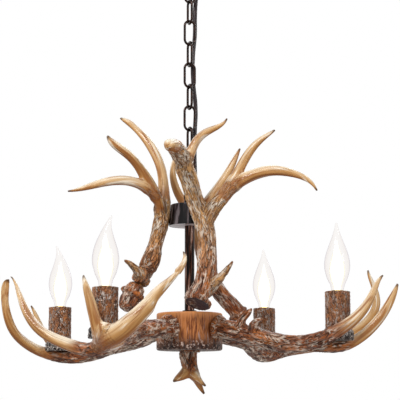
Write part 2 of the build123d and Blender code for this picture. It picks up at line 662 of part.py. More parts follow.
# ---- Upright antlers round the cup ----
cup_space_outline = [
    (0, 0),
    (CUP_BOTTOM_RADIUS + SEAT_GAP, 0),
    (CUP_TOP_RADIUS + SEAT_GAP, CUP_HEIGHT),
    (0, CUP_HEIGHT),
]
upright_tines = {
    "left": [
        [(52, 36, -121, 13.2), (30, 28, -80, 11.8), (20, 20, -52, 10.4), (12, 6, -18, 10.8), (8.8, 2.5, 0, 11.3), (7.5, -2, 36, 8.4)]
        + [(13, -6, 73, 7.4), (31, -14, 110, 6.2), (52, -22, 134, 5), (73, -28, 149, 1.4)],
        [(11, 4, -5, 8.5), (21, 22, 30, 8.3), (36, 34, 56, 7.8), (56, 46, 80, 6.8), (77, 54, 95, 5.6), (86, 58, 106, 1.5)],
        [(20, 22, 26, 7.5), (43, 38, 40, 7), (62, 48, 43, 6.6), (90, 56, 39, 5.8), (115, 62, 31, 4), (140, 68, 25, 1.4)],
        [(35, 26, -99, 8), (40.5, 41, -89, 6.4), (49, 55, -79, 4.4), (60, 67, -72, 1.5)],
    ],
    "front": [
        [(44, -33, -134, 15), (39, -19, -106, 14), (31, -9, -77, 13.5), (22, -3, -48, 13), (13, -1.6, -19, 12.6)]
        + [(8.2, -6.8, 0, 12.2), (7.1, -18.9, 31, 11.5), (9.6, -31.4, 58, 12.3), (13.5, -37.1, 71, 11.5)],
        [(13, -36.5, 66, 9.8), (30.4, -55.4, 79, 9.2), (45.5, -72.6, 83.3, 8), (61, -89, 79, 4.6)],
        [(14, -35, 66, 8), (18.5, -23.5, 92, 6.2), (22.5, -13, 107.5, 5.8), (31, 3, 118, 4.4), (39, 20, 133, 1.4)],
        [(15, 0, -16, 10), (23, 5, 2, 10.6), (33, 15, 19, 9.9), (43, 23, 34, 8.5)],
        [(38, 19, 26, 8), (53, 34, 63, 6.4), (60, 43, 82, 5.8), (69, 53, 97, 4.6), (77, 62, 106, 3.2), (85, 71, 114, 1.4)],
        [(38, 18, 26, 8), (56, 35, 43, 7.8), (71, 49, 51, 7.4), (87, 62, 54, 7.2), (102, 75, 52, 6.4), (118, 89, 45, 4.6)]
        + [(135, 106, 23, 1.4)],
        [(40, -16, -116, 8), (65, -6, -95, 5), (83, 0, -76, 1.4)],
    ],
    "back": [
        [(68, -40, -141, 11.6), (55.5, -24.7, -118, 11.4), (41.4, -11.2, -96, 11.4), (24.8, -2.3, -62, 11.3), (14, 1, -28, 11.2)]
        + [(9, 2, 1, 11.3), (9.5, 4, 12, 9)],
        [(9, 4, 2, 9), (2, 22, 24, 7.5), (-3, 35, 52, 6.2), (-6, 36, 76, 4.6), (-5, 29, 99, 1.4)],
        [(12, 0, 2, 9), (23, -14, 35, 7), (35, -32, 66, 5.8), (41, -43, 90, 4), (46, -50, 108, 1.4)],
    ],
}
for name, azimuth in UPRIGHT_AZIMUTHS.items():
    place = facing(azimuth, CUP_BOTTOM_RADIUS, cup_middle)
    limbs = antler(upright_tines[name], place, 0.12, UPRIGHT_BURR_SWELL)
    cup_space = turned(cup_space_outline, cup_bottom)
    with BuildPart() as upright:
        add(limbs)
        add(cup_space, mode=Mode.SUBTRACT)
        with BuildSketch(outward(azimuth, 0, cup_middle)):
            Circle(ANTLER_SCREW_RADIUS + THREAD_GAP)
        extrude(amount=CUP_TOP_RADIUS + ANTLER_SCREW_LENGTH, mode=Mode.SUBTRACT)
    print(name, len(upright.part.solids()), round(upright.part.volume), upright.part.is_valid)
    save(upright.part, f"upright_{name}")

screw_head_radius = (CUP_TOP_RADIUS + CUP_BOTTOM_RADIUS) / 2 - CUP_WALL - 0.9
with BuildPart() as screws:
    for azimuth in UPRIGHT_AZIMUTHS.values():
        with BuildSketch(outward(azimuth, screw_head_radius, cup_middle)):
            Circle(ANTLER_SCREW_HEAD_RADIUS)
        extrude(amount=-ANTLER_SCREW_HEAD_HEIGHT)
        with BuildSketch(outward(azimuth, screw_head_radius, cup_middle)):
            Circle(ANTLER_SCREW_RADIUS)
        extrude(amount=ANTLER_SCREW_LENGTH)
save(screws.part, "antler_screws")
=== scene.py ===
from math import cos, pi, radians, sin

import bmesh
import bpy
import numpy as np
from mathutils import Matrix, Vector
from mathutils.kdtree import KDTree


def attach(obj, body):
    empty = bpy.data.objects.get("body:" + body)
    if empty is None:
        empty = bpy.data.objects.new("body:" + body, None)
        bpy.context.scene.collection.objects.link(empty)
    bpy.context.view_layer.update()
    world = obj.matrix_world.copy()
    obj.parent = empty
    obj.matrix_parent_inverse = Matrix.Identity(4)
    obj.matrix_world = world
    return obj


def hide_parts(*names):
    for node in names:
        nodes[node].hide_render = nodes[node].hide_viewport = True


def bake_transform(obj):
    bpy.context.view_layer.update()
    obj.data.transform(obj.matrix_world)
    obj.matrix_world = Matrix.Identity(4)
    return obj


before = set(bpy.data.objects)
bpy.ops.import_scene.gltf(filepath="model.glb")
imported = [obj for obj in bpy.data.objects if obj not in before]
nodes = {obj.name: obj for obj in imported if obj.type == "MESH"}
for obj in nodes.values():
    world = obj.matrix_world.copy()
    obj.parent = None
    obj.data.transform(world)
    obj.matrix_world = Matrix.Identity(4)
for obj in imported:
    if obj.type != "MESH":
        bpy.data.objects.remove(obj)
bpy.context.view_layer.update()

scene = bpy.context.scene
MM = 0.001

# ---- Camera ----
CAMERA_PLACE = (0.015, -2.002, -0.675)
CAMERA_TILT = 8.37  # degrees above level
camera_data = bpy.data.cameras.new("camera")
camera_data.lens = 126
camera_data.sensor_width = 36
camera_data.clip_end = 30
camera = bpy.data.objects.new("camera", camera_data)
scene.collection.objects.link(camera)
camera.location = CAMERA_PLACE
camera.rotation_euler = (radians(90 + CAMERA_TILT), 0, 0)
scene.camera = camera
scene.view_settings.view_transform = "Standard"


# ---- Small helpers ----
def rgb(r, g, b):
    """A colour given in 0..255 screen values, as linear values."""
    out = []
    for c in (r, g, b):
        c /= 255
        out.append(c / 12.92 if c <= 0.04045 else ((c + 0.055) / 1.055) ** 2.4)
    return (*out, 1)


class Nodes:
    """A thin wrapper that makes a material's nodes and links them."""

    def __init__(self, name):
        self.mat = bpy.data.materials.new(name)
        self.mat.use_nodes = True
        self.tree = self.mat.node_tree
        self.tree.nodes.clear()
        self.out = self.tree.nodes.new("ShaderNodeOutputMaterial")

    def add(self, kind, inputs=None, **props):
        node = self.tree.nodes.new("ShaderNode" + kind)
        for key, value in props.items():
            setattr(node, key, value)
        for key, value in (inputs or {}).items():
            socket = node.inputs[key]
            if isinstance(value, bpy.types.NodeSocket):
                self.tree.links.new(value, socket)
            else:
                socket.default_value = value
        return node

    def attr(self, name, socket="Fac"):
        return self.add("Attribute", attribute_name=name).outputs[socket]

    def math(self, op, a, b=0.0, clamp=False):
        return self.add("Math", {0: a, 1: b}, operation=op, use_clamp=clamp).outputs[0]

    def ramp(self, value, stops, smooth=True):
        node = self.add("ValToRGB", {0: value})
        ramp = node.color_ramp
        ramp.interpolation = "EASE" if smooth else "LINEAR"
        while len(ramp.elements) < len(stops):
            ramp.elements.new(0.5)
        for element, (place, colour) in zip(ramp.elements, stops):
            element.position = place
            element.color = colour if isinstance(colour, tuple) else (colour, colour, colour, 1)
        return node.outputs[0]

    def mix(self, share, a, b):
        node = self.add("Mix", data_type="RGBA", blend_type="MIX")
        for index, value in ((0, share), (6, a), (7, b)):
            if isinstance(value, bpy.types.NodeSocket):
                self.tree.links.new(value, node.inputs[index])
            else:
                node.inputs[index].default_value = value
        return node.outputs[2]

    def noise(self, vector, scale, detail, rough=0.5, distort=0.0):
        inputs = {"Scale": scale, "Detail": detail, "Roughness": rough, "Distortion": distort}
        return self.add("TexNoise", {**inputs, "Vector": vector}).outputs[0]

    def coords(self, scale=(1, 1, 1)):
        place = self.add("TexCoord").outputs["Object"]
        return self.add("Mapping", {"Vector": place, "Scale": scale}).outputs[0]

    def bump(self, height, strength, distance):
        return self.add("Bump", {"Height": height, "Strength": strength, "Distance": distance}).outputs[0]

    def most(self, *values):
        """The largest of several values."""
        first, *others = values
        for value in others:
            first = self.math("MAXIMUM", first, value)
        return first

    def times(self, a, b):
        return self.math("MULTIPLY", a, b)

    def laid(self, grain, across, along):
        """Scales a piece's grain coordinates across and along its grain."""
        return self.add("Mapping", {"Vector": grain, "Scale": (across, across, along)}).outputs[0]

    def surface(self, **inputs):
        """A principled surface; the material is done."""
        fixed = {key.replace("_", " "): value for key, value in inputs.items()}
        shader = self.add("BsdfPrincipled", fixed)
        return self.shaded(shader)

    def shaded(self, shader):
        """Ends the material with a shader."""
        self.tree.links.new(shader.outputs[0], self.out.inputs[0])
        return self.mat


def dress(node, material):
    """Gives a CAD node's own mesh a material."""
    data = nodes[node].data
    data.materials.clear()
    data.materials.append(material)


def hashed(ix, iy, iz, seed):
    """A repeatable number in 0..1 for each whole-number place."""
    h = (ix * 374761393 + iy * 668265263 + iz * 2147483647 + seed * 974711) & 0xFFFFFFFF
    h = ((h ^ (h >> 13)) * 1274126177) & 0xFFFFFFFF
    h ^= h >> 16
    return (h & 0xFFFFFF) / float(0xFFFFFF)


def value_noise(p, seed):
    """Smooth noise in 0..1 at points p, one per row."""
    cell = np.floor(p).astype(np.int64)
    f = p - cell
    f = f * f * (3 - 2 * f)
    total = np.zeros(len(p))
    for dx in (0, 1):
        for dy in (0, 1):
            for dz in (0, 1):
                w = (f[:, 0] if dx else 1 - f[:, 0]) * (f[:, 1] if dy else 1 - f[:, 1])
                w = w * (f[:, 2] if dz else 1 - f[:, 2])
                total += w * hashed(cell[:, 0] + dx, cell[:, 1] + dy, cell[:, 2] + dz, seed)
    return total


def fractal(p, octaves=2, seed=0):
    """Smooth noise in 0..1 with finer noise added to it."""
    total, size = np.zeros(len(p)), 0
    for k in range(octaves):
        total += value_noise(p * 2.03**k + 17.3 * k, seed + k) / 2**k
        size += 1 / 2**k
    return total / size


def lines(p, seed, thin):
    """Meandering raised lines: 1 on a line, 0 between lines."""
    return np.exp(-(((fractal(p, 2, seed) - 0.5) / thin) ** 2))


def new_mesh(name, points, faces):
    data = bpy.data.meshes.new(name)
    data.from_pydata([tuple(p) for p in points], [], faces)
    data.update()
    data.shade_smooth()
    piece = bpy.data.objects.new(name, data)
    scene.collection.objects.link(piece)
    return piece


def put_attribute(data, name, values):
    """Gives each point of a mesh a number or a vector that its material reads."""
    values = np.asarray(values, np.float32)
    kind = "FLOAT" if values.ndim == 1 else "FLOAT_VECTOR"
    layer = data.attributes.new(name, kind, "POINT")
    layer.data.foreach_set("value" if values.ndim == 1 else "vector", values.ravel())


# ---- Where the arms and antlers stand, as in the CAD, in mm and degrees ----
ARMS = ["front_left", "front_right", "back_right", "back_left"]
SOCKET_AZIMUTH = {"front_left": 242, "front_right": 332, "back_right": 59.5, "back_left": 149.5}
SOCKET_RADIUS = 228
SEAT_DROP = {"front_left": 19, "front_right": 17, "back_right": 19, "back_left": 23}
CUP_MIDDLE = -402.95
CUP_RADIUS = 30
HUB_MIDDLE = -570.45
HUB_RADIUS = 47
HUB_HALF = 26.5
ARM_Z = -566.45
ARM_BASE_AZIMUTH = 235
ARM_RADIUS = 12.5
reach = SOCKET_RADIUS - HUB_RADIUS


class Place:
    """A local frame: x outward at an azimuth, y along the ring, z up, in mm."""

    def __init__(self, azimuth, radius, z):
        a = radians(azimuth)
        self.out = np.array([cos(a), sin(a), 0])
        self.side = np.array([-sin(a), cos(a), 0])
        self.origin = self.out * radius + np.array([0, 0, z])

    def world(self, p):
        return self.origin + self.out * p[0] + self.side * p[1] + np.array([0, 0, p[2]])

    def local(self, p):
        d = np.array(p) - self.origin
        return (d @ self.out, d @ self.side, d[2])


def roots(name):
    """An arm's first two points: inside the hub and just outside it."""
    base = radians(ARM_BASE_AZIMUTH + 90 * ARMS.index(name))
    place = Place(SOCKET_AZIMUTH[name], SOCKET_RADIUS, HUB_MIDDLE)
    points = []
    for radius, z in ((HUB_RADIUS - 4, ARM_Z), (HUB_RADIUS + 14, ARM_Z - 2)):
        points.append((*place.local((radius * cos(base), radius * sin(base), z)), ARM_RADIUS))
    return points


# Each antler's tines, the trunk first: points of x, y, z and radius in the antler's own Place.
TINES = {
    "arm_front_left": [
        roots("front_left")
        + [(-0.613 * reach, -7, -2, 12.5), (-0.309 * reach, -4, -12, 12.5), (1, 6, -23, 12.5),
           (24, 8, -28, 9)],
        [(20, 10, -26, 9), (29, 11, -20, 8.3), (39, 9, 4, 7.4), (45, 4, 31, 6), (46, -4, 59, 1.3)],
        [(16, 6, -26, 9.5), (28, 20, -23, 9.5), (29, 37, -15, 8.8), (19, 60, 8, 8), (1, 81, 40, 6.3),
         (-26, 100, 91, 1.3)],
        [(20, 12, -30, 7), (24, -8, -34, 8.6), (24, -37, -28, 8), (26, -73, -13, 7.2),
         (28, -103, 16, 5.3), (28, -129, 64, 1.3)],
    ],
    "arm_front_right": [
        roots("front_right")
        + [(-0.663 * reach, -19, -9, 12.5), (-0.331 * reach, -26, -22, 11.5), (-9, -35, -16, 9.6)]
        + [(30, -26, 6, 7.4), (52, -8, 40, 5), (63, 7, 69, 1.4)],
        [(-0.304 * reach, -22, -24, 10), (-22, -4, -24, 8.6), (4, 30, -20, 7.6), (35, 54, 9, 6.6),
         (54, 62, 40, 5), (63, 64, 62, 1.5)],
        [(-0.785 * reach, -16, -4, 6.5), (-0.718 * reach, -27, 15, 5.2), (-0.674 * reach, -27, 23, 4),
         (-0.641 * reach, -26, 28, 1.2)],
        [(-0.652 * reach, -20, -8, 6), (-0.597 * reach, -34, 8, 4), (-0.53 * reach, -34, 13, 1.5)],
    ],
    "arm_back_right": [
        roots("back_right")
        + [(-0.657 * reach, -18, -5, 12.8), (-0.376 * reach, -15, -15, 12.8), (-13, -10, -22, 15),
           (16, -28, -18, 10.5)]
        + [(44, -58, -12, 10), (81, -130, 19, 7.5), (89, -151, 50, 6.6), (85, -150, 80, 4.6),
           (79, -143, 107, 1.5)],
    ],
    "arm_back_left": [
        roots("back_left")
        + [(-0.663 * reach, -11, -11, 12.5), (-0.337 * reach, -14, -24, 11), (-10, -6, -31, 10)]
        + [(23, 16, -23, 8.4), (42, 50, 0, 7.3), (46, 72, 36, 6.3), (35, 81, 81, 1.4)],
        [(-14, -10, -28, 8), (20, -27, -22, 7.2), (37, -18, -2, 5.8), (51, -12, 26, 4), (59, -5, 48, 1.3)],
    ],
    "upright_left": [
        [(52, 36, -121, 13.2), (30, 28, -80, 11.8), (20, 20, -52, 10.4), (12, 6, -18, 10.8),
         (8.8, 2.5, 0, 11.3), (7.5, -2, 36, 8.4)]
        + [(13, -6, 73, 7.4), (31, -14, 110, 6.2), (52, -22, 134, 5), (73, -28, 149, 1.4)],
        [(11, 4, -5, 8.5), (21, 22, 30, 8.3), (36, 34, 56, 7.8), (56, 46, 80, 6.8), (77, 54, 95, 5.6),
         (86, 58, 106, 1.5)],
        [(20, 22, 26, 7.5), (43, 38, 40, 7), (62, 48, 43, 6.6), (90, 56, 39, 5.8), (115, 62, 31, 4),
         (140, 68, 25, 1.4)],
        [(35, 26, -99, 8), (40.5, 41, -89, 6.4), (49, 55, -79, 4.4), (60, 67, -72, 1.5)],
    ],
    "upright_front": [
        [(44, -33, -134, 15), (39, -19, -106, 14), (31, -9, -77, 13.5), (22, -3, -48, 13),
         (13, -1.6, -19, 12.6)]
        + [(8.2, -6.8, 0, 12.2), (7.1, -18.9, 31, 11.5), (9.6, -31.4, 58, 12.3), (13.5, -37.1, 71, 11.5)],
        [(13, -36.5, 66, 9.8), (30.4, -55.4, 79, 9.2), (45.5, -72.6, 83.3, 8), (61, -89, 79, 4.6)],
        [(14, -35, 66, 8), (18.5, -23.5, 92, 6.2), (22.5, -13, 107.5, 5.8), (31, 3, 118, 4.4),
         (39, 20, 133, 1.4)],
        [(15, 0, -16, 10), (23, 5, 2, 10.6), (33, 15, 19, 9.9), (43, 23, 34, 8.5)],
        [(38, 19, 26, 8), (53, 34, 63, 6.4), (60, 43, 82, 5.8), (69, 53, 97, 4.6), (77, 62, 106, 3.2),
         (85, 71, 114, 1.4)],
        [(38, 18, 26, 8), (56, 35, 43, 7.8), (71, 49, 51, 7.4), (87, 62, 54, 7.2), (102, 75, 52, 6.4),
         (118, 89, 45, 4.6)]
        + [(135, 106, 23, 1.4)],
        [(40, -16, -116, 8), (65, -6, -95, 5), (83, 0, -76, 1.4)],
    ],
    "upright_back": [
        [(68, -40, -141, 11.6), (55.5, -24.7, -118, 11.4), (41.4, -11.2, -96, 11.4),
         (24.8, -2.3, -62, 11.3), (14, 1, -28, 11.2)]
        + [(9, 2, 1, 11.3), (9.5, 4, 12, 9)],
        [(9, 4, 2, 9), (2, 22, 24, 7.5), (-3, 35, 52, 6.2), (-6, 36, 76, 4.6), (-5, 29, 99, 1.4)],
        [(12, 0, 2, 9), (23, -14, 35, 7), (35, -32, 66, 5.8), (41, -43, 90, 4), (46, -50, 108, 1.4)],
    ],
    "pendant_antler": [
        [(0, 0, 2, 14), (-1, 0, -12, 11.5), (-2, 0, -26, 9), (-12, 0, -36, 6.2), (-23, 0, -44, 1.4)],
        [(-1, 0, -14, 8), (4, -1, -28, 7), (12, -4, -40, 4.6), (23, -6, -50, 1.4)],
        [(1, 0, -20, 6), (7, 2, -34, 6), (14, 5, -49, 4), (21, 8, -61, 1.4)],
    ],
}
PLACES = {f"arm_{name}": Place(SOCKET_AZIMUTH[name], SOCKET_RADIUS, HUB_MIDDLE) for name in ARMS}
for name, azimuth in (("left", 180), ("front", -58), ("back", 68)):
    PLACES[f"upright_{name}"] = Place(azimuth, CUP_RADIUS, CUP_MIDDLE)
PLACES["pendant_antler"] = Place(0, 0, HUB_MIDDLE - HUB_HALF)


def between(a, b, start, end, u):
    """The place at u on the straight way from a, at start, to b, at end."""
    return a * (end - u) / (end - start) + b * (u - start) / (end - start)


def sampled(points, place, step=1.5):
    """A smooth centreline through a tine's points: places, radii and lengths along it, in mm."""
    p = np.array([place.world(q) for q in points])
    r = np.array([q[3] for q in points], float)
    first, last = 2 * p[0] - p[1], 2 * p[-1] - p[-2]
    ring = np.vstack([first, p, last])
    knots = np.concatenate([[0], np.cumsum(np.sqrt(np.linalg.norm(np.diff(ring, axis=0), axis=1)))])
    centres, sizes = [], []
    for k in range(len(p) - 1):
        count = max(4, int(np.linalg.norm(p[k + 1] - p[k]) / step))
        for t in np.linspace(0, 1, count, endpoint=False):
            u = knots[k + 1] + t * (knots[k + 2] - knots[k + 1])
            a = [between(ring[k + i], ring[k + i + 1], knots[k + i], knots[k + i + 1], u) for i in range(3)]
            b = [between(a[i], a[i + 1], knots[k + i], knots[k + i + 2], u) for i in range(2)]
            centres.append(between(b[0], b[1], knots[k + 1], knots[k + 2], u))
            sizes.append(r[k] + (r[k + 1] - r[k]) * t)
    centres.append(p[-1])
    sizes.append(r[-1])
    centres = np.array(centres)
    along = np.concatenate([[0], np.cumsum(np.linalg.norm(np.diff(centres, axis=0), axis=1))])
    tangents = np.gradient(centres, axis=0)
    tangents /= np.linalg.norm(tangents, axis=1)[:, None]
    # a reference direction carried along the line without twisting
    ref = np.cross(tangents[0], [0.31, 0.2, 0.93])
    refs = []
    for t in tangents:
        ref = ref - t * (ref @ t)
        ref /= np.linalg.norm(ref)
        refs.append(ref)
    return {"p": centres, "r": np.array(sizes), "s": along, "t": tangents, "ref": np.array(refs)}


def nearest_on(line, v):
    """For points v: the nearest place on a centreline, as its index, and the distance to it."""
    tree = KDTree(len(line["p"]))
    for index, point in enumerate(line["p"]):
        tree.insert(point, index)
    tree.balance()
    found = [tree.find(point)[1:] for point in v]
    return np.array([index for index, _ in found]), np.array([distance for _, distance in found])


def seen_from(line, v):
    """For points v: nearest place on a centreline, distance from its surface, and coordinates along it."""
    near, _ = nearest_on(line, v)
    d = v - line["p"][near]
    off = np.abs(np.linalg.norm(d, axis=1) - line["r"][near])
    t, ref = line["t"][near], line["ref"][near]
    along = line["s"][near] + np.einsum("ij,ij->i", d, t)
    d = d - t * np.einsum("ij,ij->i", d, t)[:, None]
    other = np.cross(t, ref)
    x, y = np.einsum("ij,ij->i", d, ref), np.einsum("ij,ij->i", d, other)
    return near, off, np.stack([x, y, along], 1)


def reach_of(line, v):
    """How far points are from a tine's surface, in mm; a tine starts narrower, inside its trunk."""
    near, distance = nearest_on(line, v)
    radius = line["r"] * np.clip(0.4 + 0.6 * line["s"] / 16, 0.4, 1)
    return distance - radius[near]


# ---- Antler material: bark on the beams, smooth tan tines, dark tips ----
def antler_material():
    m = Nodes("antler")
    grain = m.attr("grain", "Vector")
    smooth = m.attr("smoothness")
    rib = m.attr("rib")
    cells = m.noise(m.laid(grain, 0.17, 0.032), 1.0, 2, 0.45, 0.8)
    second = m.noise(m.laid(grain, 0.31, 0.06), 1.0, 2, 0.45, 0.8)
    fine = m.noise(m.laid(grain, 0.9, 0.16), 1.0, 3, 0.65, 0.5)
    broad = m.noise(m.laid(grain, 0.07, 0.025), 1.0, 2, 0.5)
    where = m.ramp(m.noise(m.laid(grain, 0.12, 0.05), 1.0, 2, 0.5), [(0.42, 0.1), (0.58, 1.0)])
    # pale crests and near-black crevices, drawn where the noises pass through narrow bands: the crests'
    # pale colour is partly the bark's own and partly painted highlight, and the crevices are painted shade
    # beside them
    line = m.ramp(cells, [(0.455, 0.0), (0.485, 1.0), (0.505, 1.0), (0.535, 0.0)])
    thread = m.ramp(second, [(0.455, 0.0), (0.485, 0.9), (0.505, 0.9), (0.535, 0.0)])
    crest_and_highlight = m.times(m.most(line, thread, m.ramp(rib, [(0.8, 0.0), (0.98, 0.8)])), where)
    crevice_shade = m.most(
        m.ramp(cells, [(0.355, 0.0), (0.405, 1.0), (0.455, 0.0)]),
        m.ramp(rib, [(0.06, 0.0), (0.2, 0.8), (0.42, 0.0)]),
        m.ramp(second, [(0.53, 0.0), (0.56, 0.8), (0.6, 0.0)]),
    )
    # 0 where the surface faces down, 1 where it faces up
    up = m.add("SeparateXYZ", {0: m.add("NewGeometry").outputs["Normal"]}).outputs[2]
    level = m.math("MULTIPLY_ADD", up, 0.5)
    level.node.inputs[2].default_value = 0.5
    # painted shade: under is 1 on surfaces that face down, which are mixed towards a dark cool colour as if
    # in shadow
    under = m.ramp(level, [(0.04, 1.0), (0.36, 0.0)])

    def bark(dark, mid, warm, underside_shade, black, ridge, crests):
        body = m.mix(m.ramp(fine, [(0.38, 0.0), (0.6, 1.0)]), dark, mid)
        body = m.mix(m.ramp(broad, [(0.42, 0.0), (0.6, 0.9)]), body, warm)
        # painted shade on the undersides
        body = m.mix(m.times(under, 0.7), body, underside_shade)
        # painted shade: the crevices darken to a near-black colour
        body = m.mix(m.times(crevice_shade, 0.95), body, black)
        # the crests take a pale colour, partly the bark's own and partly painted highlight
        return m.mix(m.times(crest_and_highlight, crests), body, ridge)

    # each palette: dark, middle and warm tones, then painted shade for undersides and crevices, then the
    # crests' pale colour, partly painted highlight
    low = bark(
        rgb(88, 38, 14), rgb(158, 84, 34), rgb(188, 108, 46), rgb(90, 54, 44), rgb(12, 4, 1),
        rgb(238, 218, 200), 0.9)
    high = bark(
        rgb(172, 116, 64), rgb(212, 162, 104), rgb(218, 166, 104), rgb(148, 108, 76), rgb(92, 48, 20),
        rgb(255, 244, 228), 0.85)
    body = m.mix(m.attr("deep"), high, low)
    # the smooth horn of the tines, lighter where it faces up and darker where it faces down: painted light
    # and shade
    fibre_and_sheen = m.noise(m.laid(grain, 0.17, 0.011), 1.0, 2, 0.5, 0.5)
    hair = m.noise(m.laid(grain, 0.6, 0.02), 1.0, 2, 0.6, 0.2)
    # painted light and shade: the horn runs from dark orange-brown on faces that point down to pale cream
    # on faces that point up
    horn = m.ramp(level, [
        (0.1, rgb(146, 88, 40)), (0.34, rgb(194, 142, 84)), (0.6, rgb(214, 176, 128)),
        (0.92, rgb(242, 226, 200)),
    ])
    # lengthwise dark and pale streaks along the grain: partly the horn's own grain and partly painted shade
    # and highlight bands
    horn = m.mix(m.ramp(fibre_and_sheen, [(0.5, 0.0), (0.66, 0.85)]), horn, rgb(156, 96, 44))
    horn = m.mix(m.ramp(fibre_and_sheen, [(0.32, 0.8), (0.44, 0.0)]), horn, rgb(246, 234, 214))
    horn = m.mix(m.ramp(hair, [(0.5, 0.0), (0.66, 0.35)]), horn, rgb(128, 78, 40))
    horn = m.mix(m.ramp(m.attr("tip"), [(0.3, 0.0), (0.9, 0.85)]), horn, rgb(72, 44, 24))
    horn = m.mix(m.ramp(smooth, [(0.35, 0.85), (1.0, 0.0)]), horn, rgb(152, 86, 36))
    colour = m.mix(m.ramp(smooth, [(0.15, 0.0), (0.6, 1.0)]), body, horn)
    web = m.times(m.attr("web"), m.ramp(second, [(0.38, 0.65), (0.6, 1.0)]))
    colour = m.mix(web, colour, m.mix(line, rgb(152, 128, 126), rgb(226, 218, 218)))
    colour = m.mix(m.attr("cut"), colour, m.mix(fine, rgb(40, 27, 31), rgb(62, 48, 53)))
    relief = m.math("SUBTRACT", m.math("ADD", crest_and_highlight, m.times(fine, 0.5)), m.times(crevice_shade, 0.9))
    rough = m.times(m.math("SUBTRACT", 1.0, smooth, True), m.math("SUBTRACT", 1.0, m.attr("cut"), True))
    height = m.math("ADD", m.times(relief, m.math("ADD", rough, 0.05)), m.times(fibre_and_sheen, 0.5))
    gloss = m.mix(smooth, m.ramp(fine, [(0.3, 0.5), (0.7, 0.34)]), m.ramp(fibre_and_sheen, [(0.3, 0.28), (0.7, 0.2)]))
    return m.surface(
        Base_Color=colour, Roughness=gloss, Normal=m.bump(height, 0.9, 0.0012), Specular_IOR_Level=0.22)


antler_look = antler_material()
SOFTEN_PASSES = 8
SPECK_POINTS = 400  # an island of fewer points isn't part of an antler
CUP_REACH = 18  # mm above and below the cup's middle where it carries an antler
HUB_REACH = 30
SEAT_CLEARANCE = 22.6  # mm around a socket's axis that its sleeve's foot stands on
FORK_PASSES = 4
FORK_STEP = 2.2  # mm, the most that a fork grows in one pass
FORK_SHARE = 0.3
TINE_MIX = 2.2  # mm over which neighbouring tines share a point's look
SMOOTH_EASE = 0.22  # share of a tine over which bark turns to horn
TIP_LENGTH = 12


def drop_specks(data):
    """Deletes the small loose bits that a remesh can leave beside a surface."""
    mesh = bmesh.new()
    mesh.from_mesh(data)
    left = set(mesh.verts)
    while left:
        island, edge_of = set(), [left.pop()]
        while edge_of:
            vert = edge_of.pop()
            island.add(vert)
            for edge in vert.link_edges:
                other = edge.other_vert(vert)
                if other in left:
                    left.remove(other)
                    edge_of.append(other)
        if len(island) < SPECK_POINTS:
            bmesh.ops.delete(mesh, geom=list(island), context="VERTS")
    mesh.to_mesh(data)
    mesh.free()


def remeshed(node, fillers, voxel):
    """A copy of an antler's CAD mesh with balls along the filler lines, remeshed to one even surface."""
    piece = nodes[node].copy()
    piece.data = nodes[node].data.copy()
    piece.name = node + "_surface"
    for key in list(piece.keys()):
        if key.startswith("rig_"):
            del piece[key]
    piece.parent = None
    scene.collection.objects.link(piece)
    mesh = bmesh.new()
    mesh.from_mesh(piece.data)
    bmesh.ops.remove_doubles(mesh, verts=mesh.verts, dist=2e-6)
    for line in fillers:
        for centre, radius in zip(line["p"], line["r"]):
            ball = Matrix.Translation(Vector(centre * MM))
            bmesh.ops.create_icosphere(mesh, subdivisions=3, radius=radius * MM, matrix=ball)
    mesh.to_mesh(piece.data)
    mesh.free()
    remesh = piece.modifiers.new("remesh", "REMESH")
    remesh.mode = "VOXEL"
    remesh.voxel_size = voxel * MM
    soften = piece.modifiers.new("soften", "SMOOTH")
    soften.factor = 0.5
    soften.iterations = SOFTEN_PASSES
    bpy.context.view_layer.update()
    data = bpy.data.meshes.new_from_object(piece.evaluated_get(bpy.context.evaluated_depsgraph_get()))
    piece.modifiers.clear()
    piece.data = data
    drop_specks(data)
    return piece


def per_point(data, what):
    """A mesh's points ("co") or normals ("normal"), one per row."""
    values = np.empty(len(data.vertices) * 3)
    data.vertices.foreach_get(what, values)
    return values.reshape(-1, 3)


def freedom(node, v):
    """0 for points that sit on the cup, the hub or under a sleeve, and 1 where the surface may move."""
    ring = np.hypot(v[:, 0], v[:, 1])
    free = np.clip((ring - CUP_RADIUS - 1) / 3, 0, 1) ** (np.abs(v[:, 2] - CUP_MIDDLE) < CUP_REACH)
    free *= np.clip((ring - HUB_RADIUS - 0.9) / 3, 0, 1) ** (np.abs(v[:, 2] - HUB_MIDDLE) < HUB_REACH)
    if node.startswith("arm"):
        name = node[4:]
        a = radians(SOCKET_AZIMUTH[name])
        d = np.hypot(v[:, 0] - SOCKET_RADIUS * cos(a), v[:, 1] - SOCKET_RADIUS * sin(a))
        seat = HUB_MIDDLE - SEAT_DROP[name]
        free[(d < SEAT_CLEARANCE) & (v[:, 2] > seat - 0.8)] = 0
    return free


def rounded_forks(v, normals, centrelines, fork, free):
    """Moves the surface out to where the tines blend into each other."""
    for _ in range(FORK_PASSES):
        near_to = -np.array([reach_of(line, v) for line in centrelines]) / fork
        nearest = near_to.max(axis=0)
        shared = np.log(np.exp(near_to - nearest).sum(axis=0))
        gap = fork * (nearest + shared)
        v = v + normals * (np.clip(gap, 0, FORK_STEP) * np.clip(shared / FORK_SHARE, 0, 1) * free)[:, None]
    return v


def relief_of(line, near, local, index, smooth):
    """The bark's ribs, and the height in mm of its ribs and pearls and of the tine's uneven sides."""
    warp = (value_noise(local / 9.0, 60 + index) - 0.5)[:, None] * np.array([4.0, -4.0, 0])
    rib = lines((local + warp) * np.array([0.2, 0.2, 0.02]) + index * 31.7, 3, 0.09)
    pearls = fractal(local * np.array([0.34, 0.34, 0.12]) + index * 11.0, 2, 9)
    height = (0.9 * rib + 0.9 * (pearls - 0.6)) * (1 - 0.95 * smooth)
    angle = np.arctan2(local[:, 1], local[:, 0])
    angle = angle + 1.5 * value_noise(local * np.array([0, 0, 0.02]) + index * 5.0, 77)
    sides = 0.07 * np.cos(2 * angle) + 0.05 * np.cos(3 * angle + 1)
    height += np.minimum(line["r"][near], 9) * sides * (0.4 + 0.6 * smooth)
    return rib, height


